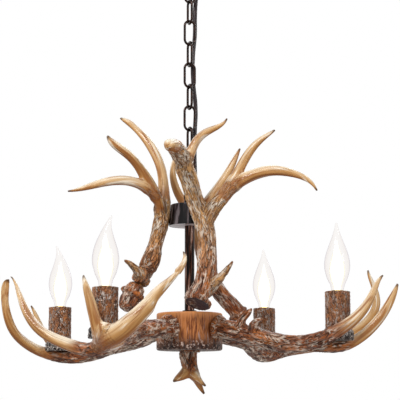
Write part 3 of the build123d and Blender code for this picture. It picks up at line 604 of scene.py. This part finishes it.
def antler(node, rough_until, tine_rough, deep_until=0, voxel=0.9, fork=2.6, blunt=()):
    """Grows an antler's surface from its CAD solid: ridged bark on the beam, smoother tines.

    The bark ends at a share of the trunk, rough_until, and of each tine, tine_rough; the
    dark colour of a trunk ends at deep_until mm. Tines listed in blunt have no dark tip.
    """
    place = PLACES[node]
    tines = [sampled(points, place) for points in TINES[node]]
    palms = [sampled(points, place, FILLER_STEP) for points in PALMS.get(node, [])]
    cores = [sampled(points, place, FILLER_STEP) for points in CORES.get(node, [])]
    piece = remeshed(node, palms + cores, voxel)
    data = piece.data
    v = per_point(data, "co") / MM
    free = freedom(node, v)
    v = rounded_forks(v, per_point(data, "normal"), tines + palms, fork, free)
    data.vertices.foreach_set("co", (v * MM).ravel())
    data.update()
    normals = per_point(data, "normal")

    count = len(v)
    grain = np.zeros((count, 3))
    total, smooth, tip, lift, rib, deep, cut_face = (np.zeros(count) for _ in range(7))
    best = np.full(count, 1e9)
    seen = [seen_from(line, v) for line in tines]
    least = np.min([off for _, off, _ in seen], axis=0)
    for index, (line, (near, off, local)) in enumerate(zip(tines, seen)):
        weight = np.exp(-(((off - least) / TINE_MIX) ** 2))
        length = line["s"][-1]
        until = rough_until if index == 0 else tine_rough[index - 1]
        here_smooth = np.clip((np.clip(local[:, 2] / length, 0, 1) - until) / SMOOTH_EASE, 0, 1)
        here_smooth = here_smooth * here_smooth * (3 - 2 * here_smooth)
        here_rib, here_lift = relief_of(line, near, local, index, here_smooth)
        if index == 0:
            burr_at = 6 if node.startswith("arm") else 4
            burr = np.exp(-(((local[:, 2] - burr_at) / 6.0) ** 2))
            here_lift = here_lift + burr * 2.4 * (fractal(local * np.array([0.3, 0.3, 0.2]), 2, 21) - 0.5)
            cut_face = np.clip((0.9 - local[:, 2]) / 0.9, 0, 1) * (node == "upright_front")
        total += weight
        swap = off < best
        best = np.where(swap, off, best)
        grain[swap] = (local + index * 40.0)[swap]
        smooth += weight * here_smooth
        tip += weight * np.clip(1 - (length - local[:, 2]) / TIP_LENGTH, 0, 1) * (index not in blunt)
        lift += weight * here_lift
        rib += weight * here_rib
        if deep_until:
            deep += weight * (np.clip(1.25 - local[:, 2] / deep_until, 0, 1) if index == 0 else 0.12)
    smooth, tip, lift, rib = smooth / total, tip / total, lift / total, rib / total
    deep = deep / total if deep_until else np.ones(count)
    cut_face = cut_face * (best < 40)
    lift = lift * (1 - cut_face)
    moved = v + normals * (lift * free)[:, None]
    data.vertices.foreach_set("co", (moved * MM).ravel())
    web = np.zeros(count)
    if node == "arm_front_left":
        web = np.exp(-((np.linalg.norm((v - WEB_AT) / WEB_SIZE, axis=1)) ** 4))
    for layer, values in (
        ("grain", grain), ("smoothness", smooth), ("tip", tip), ("rib", rib),
        ("deep", deep), ("cut", cut_face), ("web", web),
    ):
        put_attribute(data, layer, values)
    data.materials.clear()
    data.materials.append(antler_look)
    data.shade_smooth()
    data.update()
    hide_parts(node)
    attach(piece, "fixture")


WEB_AT = np.array([-112, -222, -588])  # the pale web in the front-left arm's fork
WEB_SIZE = np.array([16, 22, 13])
FILLER_STEP = 2.5
# Lines of balls, as x, y, z and radius in an antler's Place: cores keep a thin tip whole in the
# remesh, and palms also widen what the forks are rounded to.
CORES = {
    "arm_front_left": [
        [(-13.6, 99.9, 64.5, 4.6), (-15.8, 102.3, 68.4, 4.2), (-18.3, 103.2, 72.1, 3.8),
         (-20.4, 104.4, 76.4, 3.4),
         (-22.2, 104.4, 80.5, 2.9), (-23.7, 103.9, 84.3, 2.4), (-25.5, 101.4, 88.5, 1.7)],
    ],
}
PALMS = {
    "arm_front_left": [
        [(26, 13, -23, 10), (32, 17, -15, 9), (34, 21, -9, 7.5)],
        [(26, 18, -23, 10.5), (28, 30, -17, 11.5), (26, 42, -9, 11.5), (20, 55, 3, 10), (12, 68, 17, 8)],
    ],
    "upright_front": [
        [(15, -38, 71, 11.5), (28, -53, 77, 10.4), (40, -66, 81, 9.4), (50, -77, 82, 8.6),
         (57, -85, 81, 7.6)],
    ],
    "upright_left": [[(48, 34, -113, 13.5), (54, 37, -125, 13), (57, 38, -130, 11)]],
}
antler("arm_front_left", 0.66, [0.0, 0.0, 0.1], fork=3)
antler("arm_front_right", 0.58, [0.3, 0.85, 0.85])
antler("arm_back_right", 0.42, [])
antler("arm_back_left", 0.48, [0.22])
antler("upright_left", 0.42, [0.0, 0.0, 0.85], 110)
antler("upright_front", 0.95, [0.6, 0.0, 0.6, 0.0, 0.05, 0.85], 125, blunt=(1, 3))
antler("upright_back", 0.6, [0.1, 0.1], 170)
antler("pendant_antler", 0.4, [0.3, 0.35], voxel=0.6)


# ---- Candle sleeves ----
def sleeve_material():
    m = Nodes("sleeve_bark")
    grain = m.attr("grain", "Vector")
    cells = m.noise(m.laid(grain, 0.28, 0.1), 1.0, 2, 0.5, 1.0)
    second = m.noise(m.laid(grain, 0.5, 0.18), 1.0, 2, 0.55, 1.2)
    fine = m.noise(m.laid(grain, 1.0, 0.35), 1.0, 3, 0.65, 0.5)
    broad = m.noise(m.laid(grain, 0.09, 0.05), 1.0, 2, 0.5)
    # pale crests and near-black crevices: the crests' pale colour is partly the bark's own and partly
    # painted highlight, and the crevices are painted shade
    line = m.ramp(cells, [(0.45, 0.0), (0.49, 1.0), (0.505, 1.0), (0.54, 0.0)])
    thread = m.ramp(second, [(0.47, 0.0), (0.49, 0.9), (0.5, 0.9), (0.52, 0.0)])
    where = m.ramp(m.noise(m.laid(grain, 0.14, 0.08), 1.0, 2, 0.5), [(0.42, 0.15), (0.58, 1.0)])
    crest_and_highlight = m.times(m.most(line, thread), where)
    crevice_shade = m.most(
        m.ramp(cells, [(0.355, 0.0), (0.4, 1.0), (0.455, 0.0)]),
        m.ramp(second, [(0.53, 0.0), (0.56, 0.9), (0.59, 0.0)]),
    )
    plate = m.mix(m.ramp(fine, [(0.36, 0.0), (0.6, 1.0)]), rgb(96, 48, 22), rgb(164, 100, 52))
    plate = m.mix(m.ramp(broad, [(0.42, 0.0), (0.62, 0.8)]), plate, rgb(184, 118, 66))
    plate = m.mix(m.attr("foot"), plate, rgb(34, 14, 8))
    knobs = m.noise(m.laid(grain, 0.3, 0.3), 1.0, 1, 0.5)
    beads = m.times(m.ramp(knobs, [(0.53, 0.0), (0.6, 0.8)]), m.attr("foot"))
    plate = m.mix(beads, plate, rgb(206, 190, 178))
    # painted shade in the crevices
    plate = m.mix(m.times(crevice_shade, 0.95), plate, rgb(14, 5, 2))
    # the crests' pale colour, partly painted highlight
    colour = m.mix(m.times(crest_and_highlight, 0.9), plate, rgb(240, 230, 222))
    height = m.math("SUBTRACT", m.math("ADD", crest_and_highlight, m.times(fine, 0.5)), crevice_shade)
    return m.surface(
        Base_Color=colour, Roughness=0.42, Normal=m.bump(height, 0.9, 0.0011), Specular_IOR_Level=0.25)


SLEEVE_LENGTH, SLEEVE_RADIUS, BORE_RADIUS = 66, 16.8, 14.2
FOOT_RADIUS, FOOT_HEIGHT, FLOOR, WIRE_HOLE = 21, 17, 5, 4
SLEEVE_SIDES = 260
WALL_ROWS = 110
FOOT_ROWS = 34


def sleeve_profile():
    """A sleeve's outline as radius and height: up its bore, over its rim and down to its foot."""
    profile = [(WIRE_HOLE, FLOOR), (BORE_RADIUS, FLOOR)]
    profile += [(BORE_RADIUS, z) for z in (20, 40, 60)]
    profile += [(BORE_RADIUS, SLEEVE_LENGTH - 0.6), (BORE_RADIUS + 0.6, SLEEVE_LENGTH)]
    profile += [(SLEEVE_RADIUS - 0.7, SLEEVE_LENGTH)]
    wall_from = len(profile)
    for k in range(WALL_ROWS):
        z = SLEEVE_LENGTH - 0.5 - k * (SLEEVE_LENGTH - 0.5 - FOOT_HEIGHT) / (WALL_ROWS - 1)
        profile.append((SLEEVE_RADIUS, z))
    for k in range(1, FOOT_ROWS + 1):
        u = k / FOOT_ROWS
        swell = min(1, u / 0.35)
        wider = (FOOT_RADIUS - SLEEVE_RADIUS) * (swell * swell * (3 - 2 * swell))
        profile.append((SLEEVE_RADIUS + wider, FOOT_HEIGHT * (1 - u)))
    wall_to = len(profile)
    profile += [(FOOT_RADIUS - 3, 0), (WIRE_HOLE, 0), (WIRE_HOLE, FLOOR)]
    return np.array(profile), wall_from, wall_to


sleeve_look = sleeve_material()
profile, wall_from, wall_to = sleeve_profile()
turns = np.linspace(0, 2 * pi, SLEEVE_SIDES, endpoint=False)
row, turn = (grid.ravel() for grid in np.meshgrid(np.arange(len(profile)), turns, indexing="ij"))
on_wall = (row >= wall_from) & (row < wall_to - 1)
for order, name in enumerate(ARMS):
    a = radians(SOCKET_AZIMUTH[name])
    centre = np.array([SOCKET_RADIUS * cos(a), SOCKET_RADIUS * sin(a), HUB_MIDDLE - SEAT_DROP[name]])
    radius, height = profile[row, 0], profile[row, 1]
    local = np.stack([radius * np.cos(turn), radius * np.sin(turn), height], 1)
    warp = (value_noise(local / 7.0, 80 + order) - 0.5)[:, None] * np.array([4.0, -4.0, 0])
    ridge = lines((local + warp) * np.array([0.26, 0.26, 0.11]) + 23.1 * order, 5 + order, 0.06)
    pearls = fractal(local * 0.35 + 9.0 * order, 2, 40)
    foot = np.clip((FOOT_HEIGHT - height) / 5, 0, 1)
    bark = 0.4 * ridge + 0.8 * (pearls - 0.6) + foot * 2.2 * (fractal(local * 0.3, 2, 50) - 0.5)
    lift = np.where(on_wall, bark, 0)
    local[:, 0] += np.cos(turn) * lift
    local[:, 1] += np.sin(turn) * lift
    faces = []
    n = SLEEVE_SIDES
    for i in range(len(profile) - 1):
        for j in range(n):
            k = (j + 1) % n
            faces.append((i * n + j, (i + 1) * n + j, (i + 1) * n + k, i * n + k))
    piece = new_mesh(f"sleeve_{name}_bark", (local + centre) * MM, faces)
    put_attribute(piece.data, "grain", local + 50.0 * order)
    put_attribute(piece.data, "foot", foot)
    piece.data.materials.append(sleeve_look)
    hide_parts(f"sleeve_{name}")
    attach(piece, "fixture")


# ---- Bulbs ----
def bulb_glass_material():
    m = Nodes("bulb_glass")
    facing = m.add("LayerWeight", {"Blend": 0.5}).outputs["Facing"]
    # painted shade: the glass lets less light through towards its edges and turns grey-lavender at its rim,
    # standing in for refraction
    edge_shade = m.ramp(facing, [
        (0.0, (0.985, 0.975, 0.965, 1)), (0.5, (0.965, 0.945, 0.93, 1)), (0.8, (0.89, 0.865, 0.865, 1)),
        (0.92, (0.56, 0.53, 0.6, 1)), (1.0, (0.3, 0.27, 0.36, 1)),
    ], smooth=False)
    clear = m.add("BsdfTransparent", {"Color": edge_shade})
    film = m.add("BsdfGlossy", {"Color": rgb(235, 233, 240), "Roughness": 0.06})
    share = m.ramp(facing, [(0.3, 0.02), (0.8, 0.06), (1.0, 0.2)], smooth=False)
    return m.shaded(m.add("MixShader", {0: share, 1: clear.outputs[0], 2: film.outputs[0]}))


def glow_material():
    m = Nodes("bulb_light")
    facing = m.add("LayerWeight", {"Blend": 0.5}).outputs["Facing"]
    colour = m.ramp(facing, [
        (0.3, rgb(255, 255, 250)), (0.6, rgb(255, 251, 226)), (0.85, rgb(252, 238, 214)),
        (1.0, rgb(246, 230, 222)),
    ])
    share = m.ramp(facing, [(0.15, 1.0), (0.5, 0.7), (0.85, 0.2), (1.0, 0.0)])
    clear = m.add("BsdfTransparent", {"Color": (1, 1, 1, 1)})
    power = m.ramp(facing, [(0.35, 1.3), (0.75, 1.0)])
    light = m.add("Emission", {"Color": colour, "Strength": power})
    return m.shaded(m.add("MixShader", {0: share, 1: clear.outputs[0], 2: light.outputs[0]}))


def metal(name, colour, worn, roughness, metallic, bumpiness, scale=400.0, specular=0.5):
    """A surface with fine spots of a second, worn colour and an uneven gloss."""
    m = Nodes(name)
    place = m.coords()
    n = m.noise(place, scale, 4, 0.6)
    base = m.mix(m.ramp(n, [(0.35, 0.0), (0.7, 1.0)]), colour, worn)
    dull = [(0.35, roughness * 0.75), (0.65, min(1, roughness * 1.3))]
    wear = m.ramp(m.noise(place, scale * 0.25, 3), dull)
    return m.surface(
        Base_Color=base, Roughness=wear, Metallic=metallic, Specular_IOR_Level=specular,
        Normal=m.bump(n, bumpiness, 0.0004))


def filament_material():
    m = Nodes("filament")
    return m.shaded(m.add("Emission", {"Color": rgb(255, 236, 170), "Strength": 4.0}))


filament_look = filament_material()
cap_look = metal("bulb_cap_metal", rgb(190, 165, 115), rgb(160, 132, 84), 0.3, 1.0, 0.2)
holder_look = metal("lampholder_plastic", rgb(226, 222, 212), rgb(212, 206, 194), 0.35, 0.0, 0.1)
glass_look = bulb_glass_material()
glow_look = glow_material()
GLASS_RADIUS, GLASS_LENGTH, TIP_BEND = 17.5, 92, 7
NECK_ABOVE_SLEEVE = 1.3  # mm from the sleeve's rim to the glass's lowest edge
GLOW_WIDTH, GLOW_FROM, GLOW_TO = 0.62, 2, 68
FLAME_ROWS, FLAME_SIDES = 70, 64
# share of the height, share of the radius, share of the tip's bend
GLASS_SHAPE = [
    (0, 8.2 / 17.5, 0), (0.08, 0.56, 0), (0.2, 0.83, 0), (0.36, 1, 0), (0.52, 0.9, 0),
    (0.68, 0.62, 0.04), (0.82, 0.34, 0.25), (0.92, 0.17, 0.6), (1, 1.4 / 17.5, 1),
]
TIP_TURN = {"front_left": 0, "front_right": 262, "back_right": 94, "back_left": 170}


def smooth_line(stations, count):
    """Catmull-Rom through rows of numbers."""
    rows = np.array(stations, float)
    u = np.linspace(0, len(rows) - 1, count)
    k = np.clip(u.astype(int), 0, len(rows) - 2)
    t = (u - k)[:, None]
    pad = np.vstack([2 * rows[0] - rows[1], rows, 2 * rows[-1] - rows[-2]])
    a, b, c, d = pad[k], pad[k + 1], pad[k + 2], pad[k + 3]
    return 0.5 * (2 * b + (c - a) * t + (2 * a - 5 * b + 4 * c - d) * t**2 + (3 * b - a - 3 * c + d) * t**3)


def flame(name, centre, turn, scale_r, z0, z1, lean=True, closed=False):
    """A flame-shaped shell from z0 to z1 above centre, its tip bent towards turn."""
    rows = smooth_line(GLASS_SHAPE, FLAME_ROWS)
    n = FLAME_SIDES
    rings = []
    for share, width, tilt in rows:
        height = z0 + (z1 - z0) * share
        bend = TIP_BEND * tilt if lean else 0
        r = GLASS_RADIUS * width * scale_r
        for j in range(n):
            b = 2 * pi * j / n
            rings.append((r * cos(b) + bend * cos(turn), r * sin(b) + bend * sin(turn), height))
    faces = []
    for i in range(len(rows) - 1):
        for j in range(n):
            k = (j + 1) % n
            faces.append((i * n + j, i * n + k, (i + 1) * n + k, (i + 1) * n + j))
    top, last = len(rings), (len(rows) - 1) * n
    # the last row's width and bend shape the tip's point
    rings.append((bend * cos(turn), bend * sin(turn), z1 + r * 0.7))
    faces += [(last + j, last + (j + 1) % n, top) for j in range(n)]
    if closed:
        rings.append((0, 0, z0))
        faces += [(len(rings) - 1, (j + 1) % n, j) for j in range(n)]
    return new_mesh(name, (np.array(rings) + centre) * MM, faces)


for name in ARMS:
    a = radians(SOCKET_AZIMUTH[name])
    neck = HUB_MIDDLE - SEAT_DROP[name] + SLEEVE_LENGTH + NECK_ABOVE_SLEEVE
    centre = np.array([SOCKET_RADIUS * cos(a), SOCKET_RADIUS * sin(a), neck])
    glass = flame(f"bulb_{name}_glass", centre, radians(TIP_TURN[name]), 1.0, 0, GLASS_LENGTH - 1)
    glass.data.materials.append(glass_look)
    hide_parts(f"bulb_glass_{name}")
    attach(glass, f"bulb_{name}")
    glow = flame(f"bulb_{name}_light", centre, 0, GLOW_WIDTH, GLOW_FROM, GLOW_TO, lean=False, closed=True)
    glow.data.materials.append(glow_look)
    glow.visible_shadow = False
    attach(glow, f"bulb_{name}")
    dress(f"bulb_filament_{name}", filament_look)
    dress(f"bulb_cap_{name}", cap_look)
    dress(f"lampholder_{name}", holder_look)


# ---- Hub, stem, cup, chain and canopy ----
def wood_material():
    m = Nodes("hub_wood")
    place = m.coords()
    z = m.add("SeparateXYZ", {0: place}).outputs[2]
    # 0 at the hub's underside, 1 at its top
    level = m.add("MapRange", {
        0: z, 1: (HUB_MIDDLE - HUB_HALF) * MM, 2: (HUB_MIDDLE + HUB_HALF) * MM}).outputs[0]
    upright = m.add("Mapping", {"Vector": place, "Scale": (1, 1, 0.12)}).outputs[0]
    grain = m.noise(upright, 420, 4, 0.7, 0.3)
    broad = m.noise(upright, 60, 3, 0.5)
    colour = m.mix(m.ramp(grain, [(0.38, 0.0), (0.56, 1.0)]), rgb(96, 44, 18), rgb(190, 120, 66))
    colour = m.mix(m.ramp(broad, [(0.4, 0.0), (0.8, 0.6)]), colour, rgb(128, 70, 36))
    streaks = m.ramp(m.noise(upright, 300, 2, 0.5, 0.2), [(0.54, 0.0), (0.64, 0.8)])
    pale = m.times(streaks, m.ramp(level, [(0.15, 1.0), (0.75, 0.1)]))
    colour = m.mix(pale, colour, rgb(186, 168, 164))
    colour = m.mix(m.ramp(level, [(0.05, 0.9), (0.5, 0.0)]), colour, rgb(48, 22, 16))
    colour = m.mix(m.ramp(level, [(0.8, 0.0), (0.97, 0.65)]), colour, rgb(216, 146, 88))
    rough = m.noise(place, 260, 4, 0.7)
    low = m.ramp(level, [(0.12, 1.0), (0.34, 0.0)])
    specks = m.times(m.ramp(rough, [(0.54, 0.0), (0.62, 0.9)]), low)
    # painted shade: the low places of the rough noise on the hub's underside, its pits, are painted near
    # black
    pit_shade = m.times(m.ramp(rough, [(0.38, 0.95), (0.48, 0.0)]), low)
    colour = m.mix(pit_shade, colour, rgb(10, 5, 4))
    colour = m.mix(specks, colour, rgb(206, 184, 172))
    height = m.math("ADD", m.times(grain, 0.5), m.times(rough, low))
    return m.surface(
        Base_Color=colour, Roughness=0.5, Normal=m.bump(height, 0.8, 0.0015), Specular_IOR_Level=0.25)


def sheen_streaked(name, dark, middle, light, scale, roughness, metallic):
    """Dark metal with upright streaks in two lighter steps; the lightest step is a painted highlight
    standing in for reflected lamps.
    """
    m = Nodes(name)
    n = m.noise(m.coords((1, 1, 0.02)), scale, 3, 0.6)
    colour = m.ramp(n, [(0.4, dark), (0.5, dark), (0.58, middle), (0.66, light)])
    return m.surface(
        Base_Color=colour, Roughness=roughness, Metallic=metallic, Normal=m.bump(n, 0.3, 0.0004),
        Specular_IOR_Level=0.2)


black_metal = metal("satin_black", rgb(18, 16, 17), rgb(32, 28, 28), 0.34, 0.2, 0.15, 300, 0.25)
# the cup's upright streaks are painted highlights
cup_metal = sheen_streaked("cup_black", rgb(10, 8, 9), rgb(44, 35, 36), rgb(104, 94, 96), 200, 0.24, 0.2)
bronze = metal("dark_bronze", rgb(8, 5, 4), rgb(56, 32, 22), 0.22, 0.5, 0.35, 260, 0.3)
zinc = metal("zinc_plate", rgb(176, 178, 174), rgb(150, 152, 150), 0.35, 1.0, 0.1)
pale_metal = metal("pale_plate", rgb(196, 190, 196), rgb(176, 168, 170), 0.45, 0.2, 0.1)
rubber = metal("black_rubber", rgb(22, 21, 22), rgb(34, 33, 34), 0.75, 0.0, 0.4, 500)
# the rod's near-white streaks are painted highlights
rod = sheen_streaked("rod_bronze", rgb(16, 9, 7), rgb(124, 72, 50), rgb(232, 206, 194), 700, 0.3, 0.6)
dress("wiring_cup", cup_metal)
for node in ("ceiling_canopy", "canopy_collar", "canopy_cap_nuts"):
    dress(node, black_metal)
for node in ["canopy_loop", "stem_loop", "stem_nuts"] + [f"chain_link_{k:02d}" for k in range(1, 11)]:
    dress(node, bronze)
for node in ("canopy_crossbar", "canopy_screws", "canopy_nipple", "nipple_nut", "antler_screws"):
    dress(node, zinc)
for node in ("canopy_bushing", "cup_bushing"):
    dress(node, rubber)
dress("cup_plate", pale_metal)
dress("stem_tube", rod)
dress("wooden_hub", wood_material())
cord_look = metal("cord_sheath", rgb(30, 19, 21), rgb(46, 27, 28), 0.3, 0.0, 0.2, 200, 0.3)

# ---- Supply cord ----
CORD_DIAMETER = 0.0063
CORD_SIDES = 20
CORD_CUTS = (-66, -300, -350)  # heights in mm where one stretch ends and the next begins
CORD_POINTS = [
    (15, 19, -16), (14.8, 18.8, -45), (8.6, 10.2, -78), (7.3, 8.6, -108), (7.9, 8.9, -133),
    (4.2, 9.2, -165),
    (4.4, 8.8, -203), (9.6, 9.2, -244), (6.8, 8.7, -284), (7.3, 9.3, -334), (9.8, 13.8, -369.45),
    (10, 14, -396.45),
]
route = bpy.data.curves.new("cord_route", "CURVE")
route.dimensions = "3D"
spline = route.splines.new("NURBS")
spline.points.add(len(CORD_POINTS) - 1)
for point, place in zip(spline.points, CORD_POINTS):
    point.co = (*(c * MM for c in place), 1)
spline.order_u = 3
spline.use_endpoint_u = True
spline.resolution_u = 12
route_piece = bpy.data.objects.new("cord_route", route)
scene.collection.objects.link(route_piece)
bpy.context.view_layer.update()
line = bpy.data.meshes.new_from_object(route_piece.evaluated_get(bpy.context.evaluated_depsgraph_get()))
path = [v.co.copy() for v in line.vertices]
bpy.data.objects.remove(route_piece)


def tube(name, points, radius):
    """A closed round tube along points."""
    last = len(points) - 1
    tangents = [(points[min(k + 1, last)] - points[max(k - 1, 0)]).normalized() for k in range(last + 1)]
    side = tangents[0].cross(Vector((1, 0, 0))).normalized()
    rings, faces = [], []
    for point, tangent in zip(points, tangents):
        side = (side - tangent * side.dot(tangent)).normalized()
        other = tangent.cross(side)
        for j in range(CORD_SIDES):
            b = 2 * pi * j / CORD_SIDES
            rings.append(point + (side * cos(b) + other * sin(b)) * radius)
    for i in range(last):
        here, there = i * CORD_SIDES, (i + 1) * CORD_SIDES
        for j in range(CORD_SIDES):
            k = (j + 1) % CORD_SIDES
            faces.append((here + j, here + k, there + k, there + j))
    faces.append(tuple(range(CORD_SIDES))[::-1])
    faces.append(tuple(range(last * CORD_SIDES, (last + 1) * CORD_SIDES)))
    return new_mesh(name, rings, faces)


def caps_apart(piece):
    """Gives a tube's end faces their own edge points, so that its side stays smoothly shaded."""
    mesh = bmesh.new()
    mesh.from_mesh(piece.data)
    rims = [e for f in mesh.faces if len(f.verts) == CORD_SIDES for e in f.edges]
    bmesh.ops.split_edges(mesh, edges=rims)
    mesh.to_mesh(piece.data)
    mesh.free()


# The cord is cut into four stretches, where one hanging part ends and the next begins.
heights = np.array([point.z for point in path]) / MM
cuts = [0] + [int(np.argmin(np.abs(heights - z))) for z in CORD_CUTS] + [len(path) - 1]
spans = [
    ("ceiling", "link_top", -27, -66), ("link_top", "chain_run", -66, -120),
    ("chain_run", "link_bottom", -305, -350), ("link_bottom", "fixture", -352, -386),
]
for k, (upper, lower, bend_from, bend_to) in enumerate(spans):
    points = path[cuts[k]:cuts[k + 1] + 1]
    piece = tube(f"supply_cord_{k + 1}", points, CORD_DIAMETER / 2)
    caps_apart(piece)
    piece.data.materials.append(cord_look)
    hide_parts("supply_cord")
    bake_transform(piece)

# ---- Room and light ----
FLOOR_HALF, FLOOR_Z = 4, -1.75
WORLD_LIGHT = 0.38  # what lights the object; the camera and its reflections see 1
corners = ((-1, -1), (1, -1), (1, 1), (-1, 1))
floor = new_mesh("floor", [(x * FLOOR_HALF, y * FLOOR_HALF, FLOOR_Z) for x, y in corners], [(0, 1, 2, 3)])
m = Nodes("floor")
tone = m.noise(m.coords(), 3, 2)
to_camera = m.times(m.add("LightPath").outputs["Is Camera Ray"], 0.45)
floor.data.materials.append(m.surface(
    Base_Color=m.mix(tone, rgb(244, 243, 241), rgb(250, 249, 248)), Roughness=0.9,
    Emission_Color=(1, 1, 1, 1), Emission_Strength=to_camera))

world = bpy.data.worlds.new("world")
scene.world = world
world.use_nodes = True
tree = world.node_tree
tree.nodes.clear()
light_path = tree.nodes.new("ShaderNodeLightPath")
seen = light_path.outputs["Is Camera Ray"]
for kind in ("Is Glossy Ray", "Is Transmission Ray"):
    either = tree.nodes.new("ShaderNodeMath")
    either.operation = "MAXIMUM"
    tree.links.new(seen, either.inputs[0])
    tree.links.new(light_path.outputs[kind], either.inputs[1])
    seen = either.outputs[0]
strength = tree.nodes.new("ShaderNodeMapRange")
tree.links.new(seen, strength.inputs[0])
strength.inputs["To Min"].default_value = WORLD_LIGHT
strength.inputs["To Max"].default_value = 1.0
background = tree.nodes.new("ShaderNodeBackground")
background.inputs["Color"].default_value = (1, 1, 1, 1)
tree.links.new(strength.outputs[0], background.inputs["Strength"])
output = tree.nodes.new("ShaderNodeOutputWorld")
tree.links.new(background.outputs[0], output.inputs[0])


AIM = Vector((0, 0, -0.5))


def lamp(name, place, size, power):
    data = bpy.data.lights.new(name, "AREA")
    data.size = size
    data.energy = power
    light = bpy.data.objects.new(name, data)
    scene.collection.objects.link(light)
    light.location = place
    light.rotation_euler = (AIM - Vector(place)).to_track_quat("-Z", "Y").to_euler()


lamp("key", (-0.9, -1.5, 1.0), 0.5, 36)
lamp("fill", (1.6, -1.2, 0.1), 0.8, 9)
lamp("rim", (0.6, 1.6, 0.4), 1.0, 10)
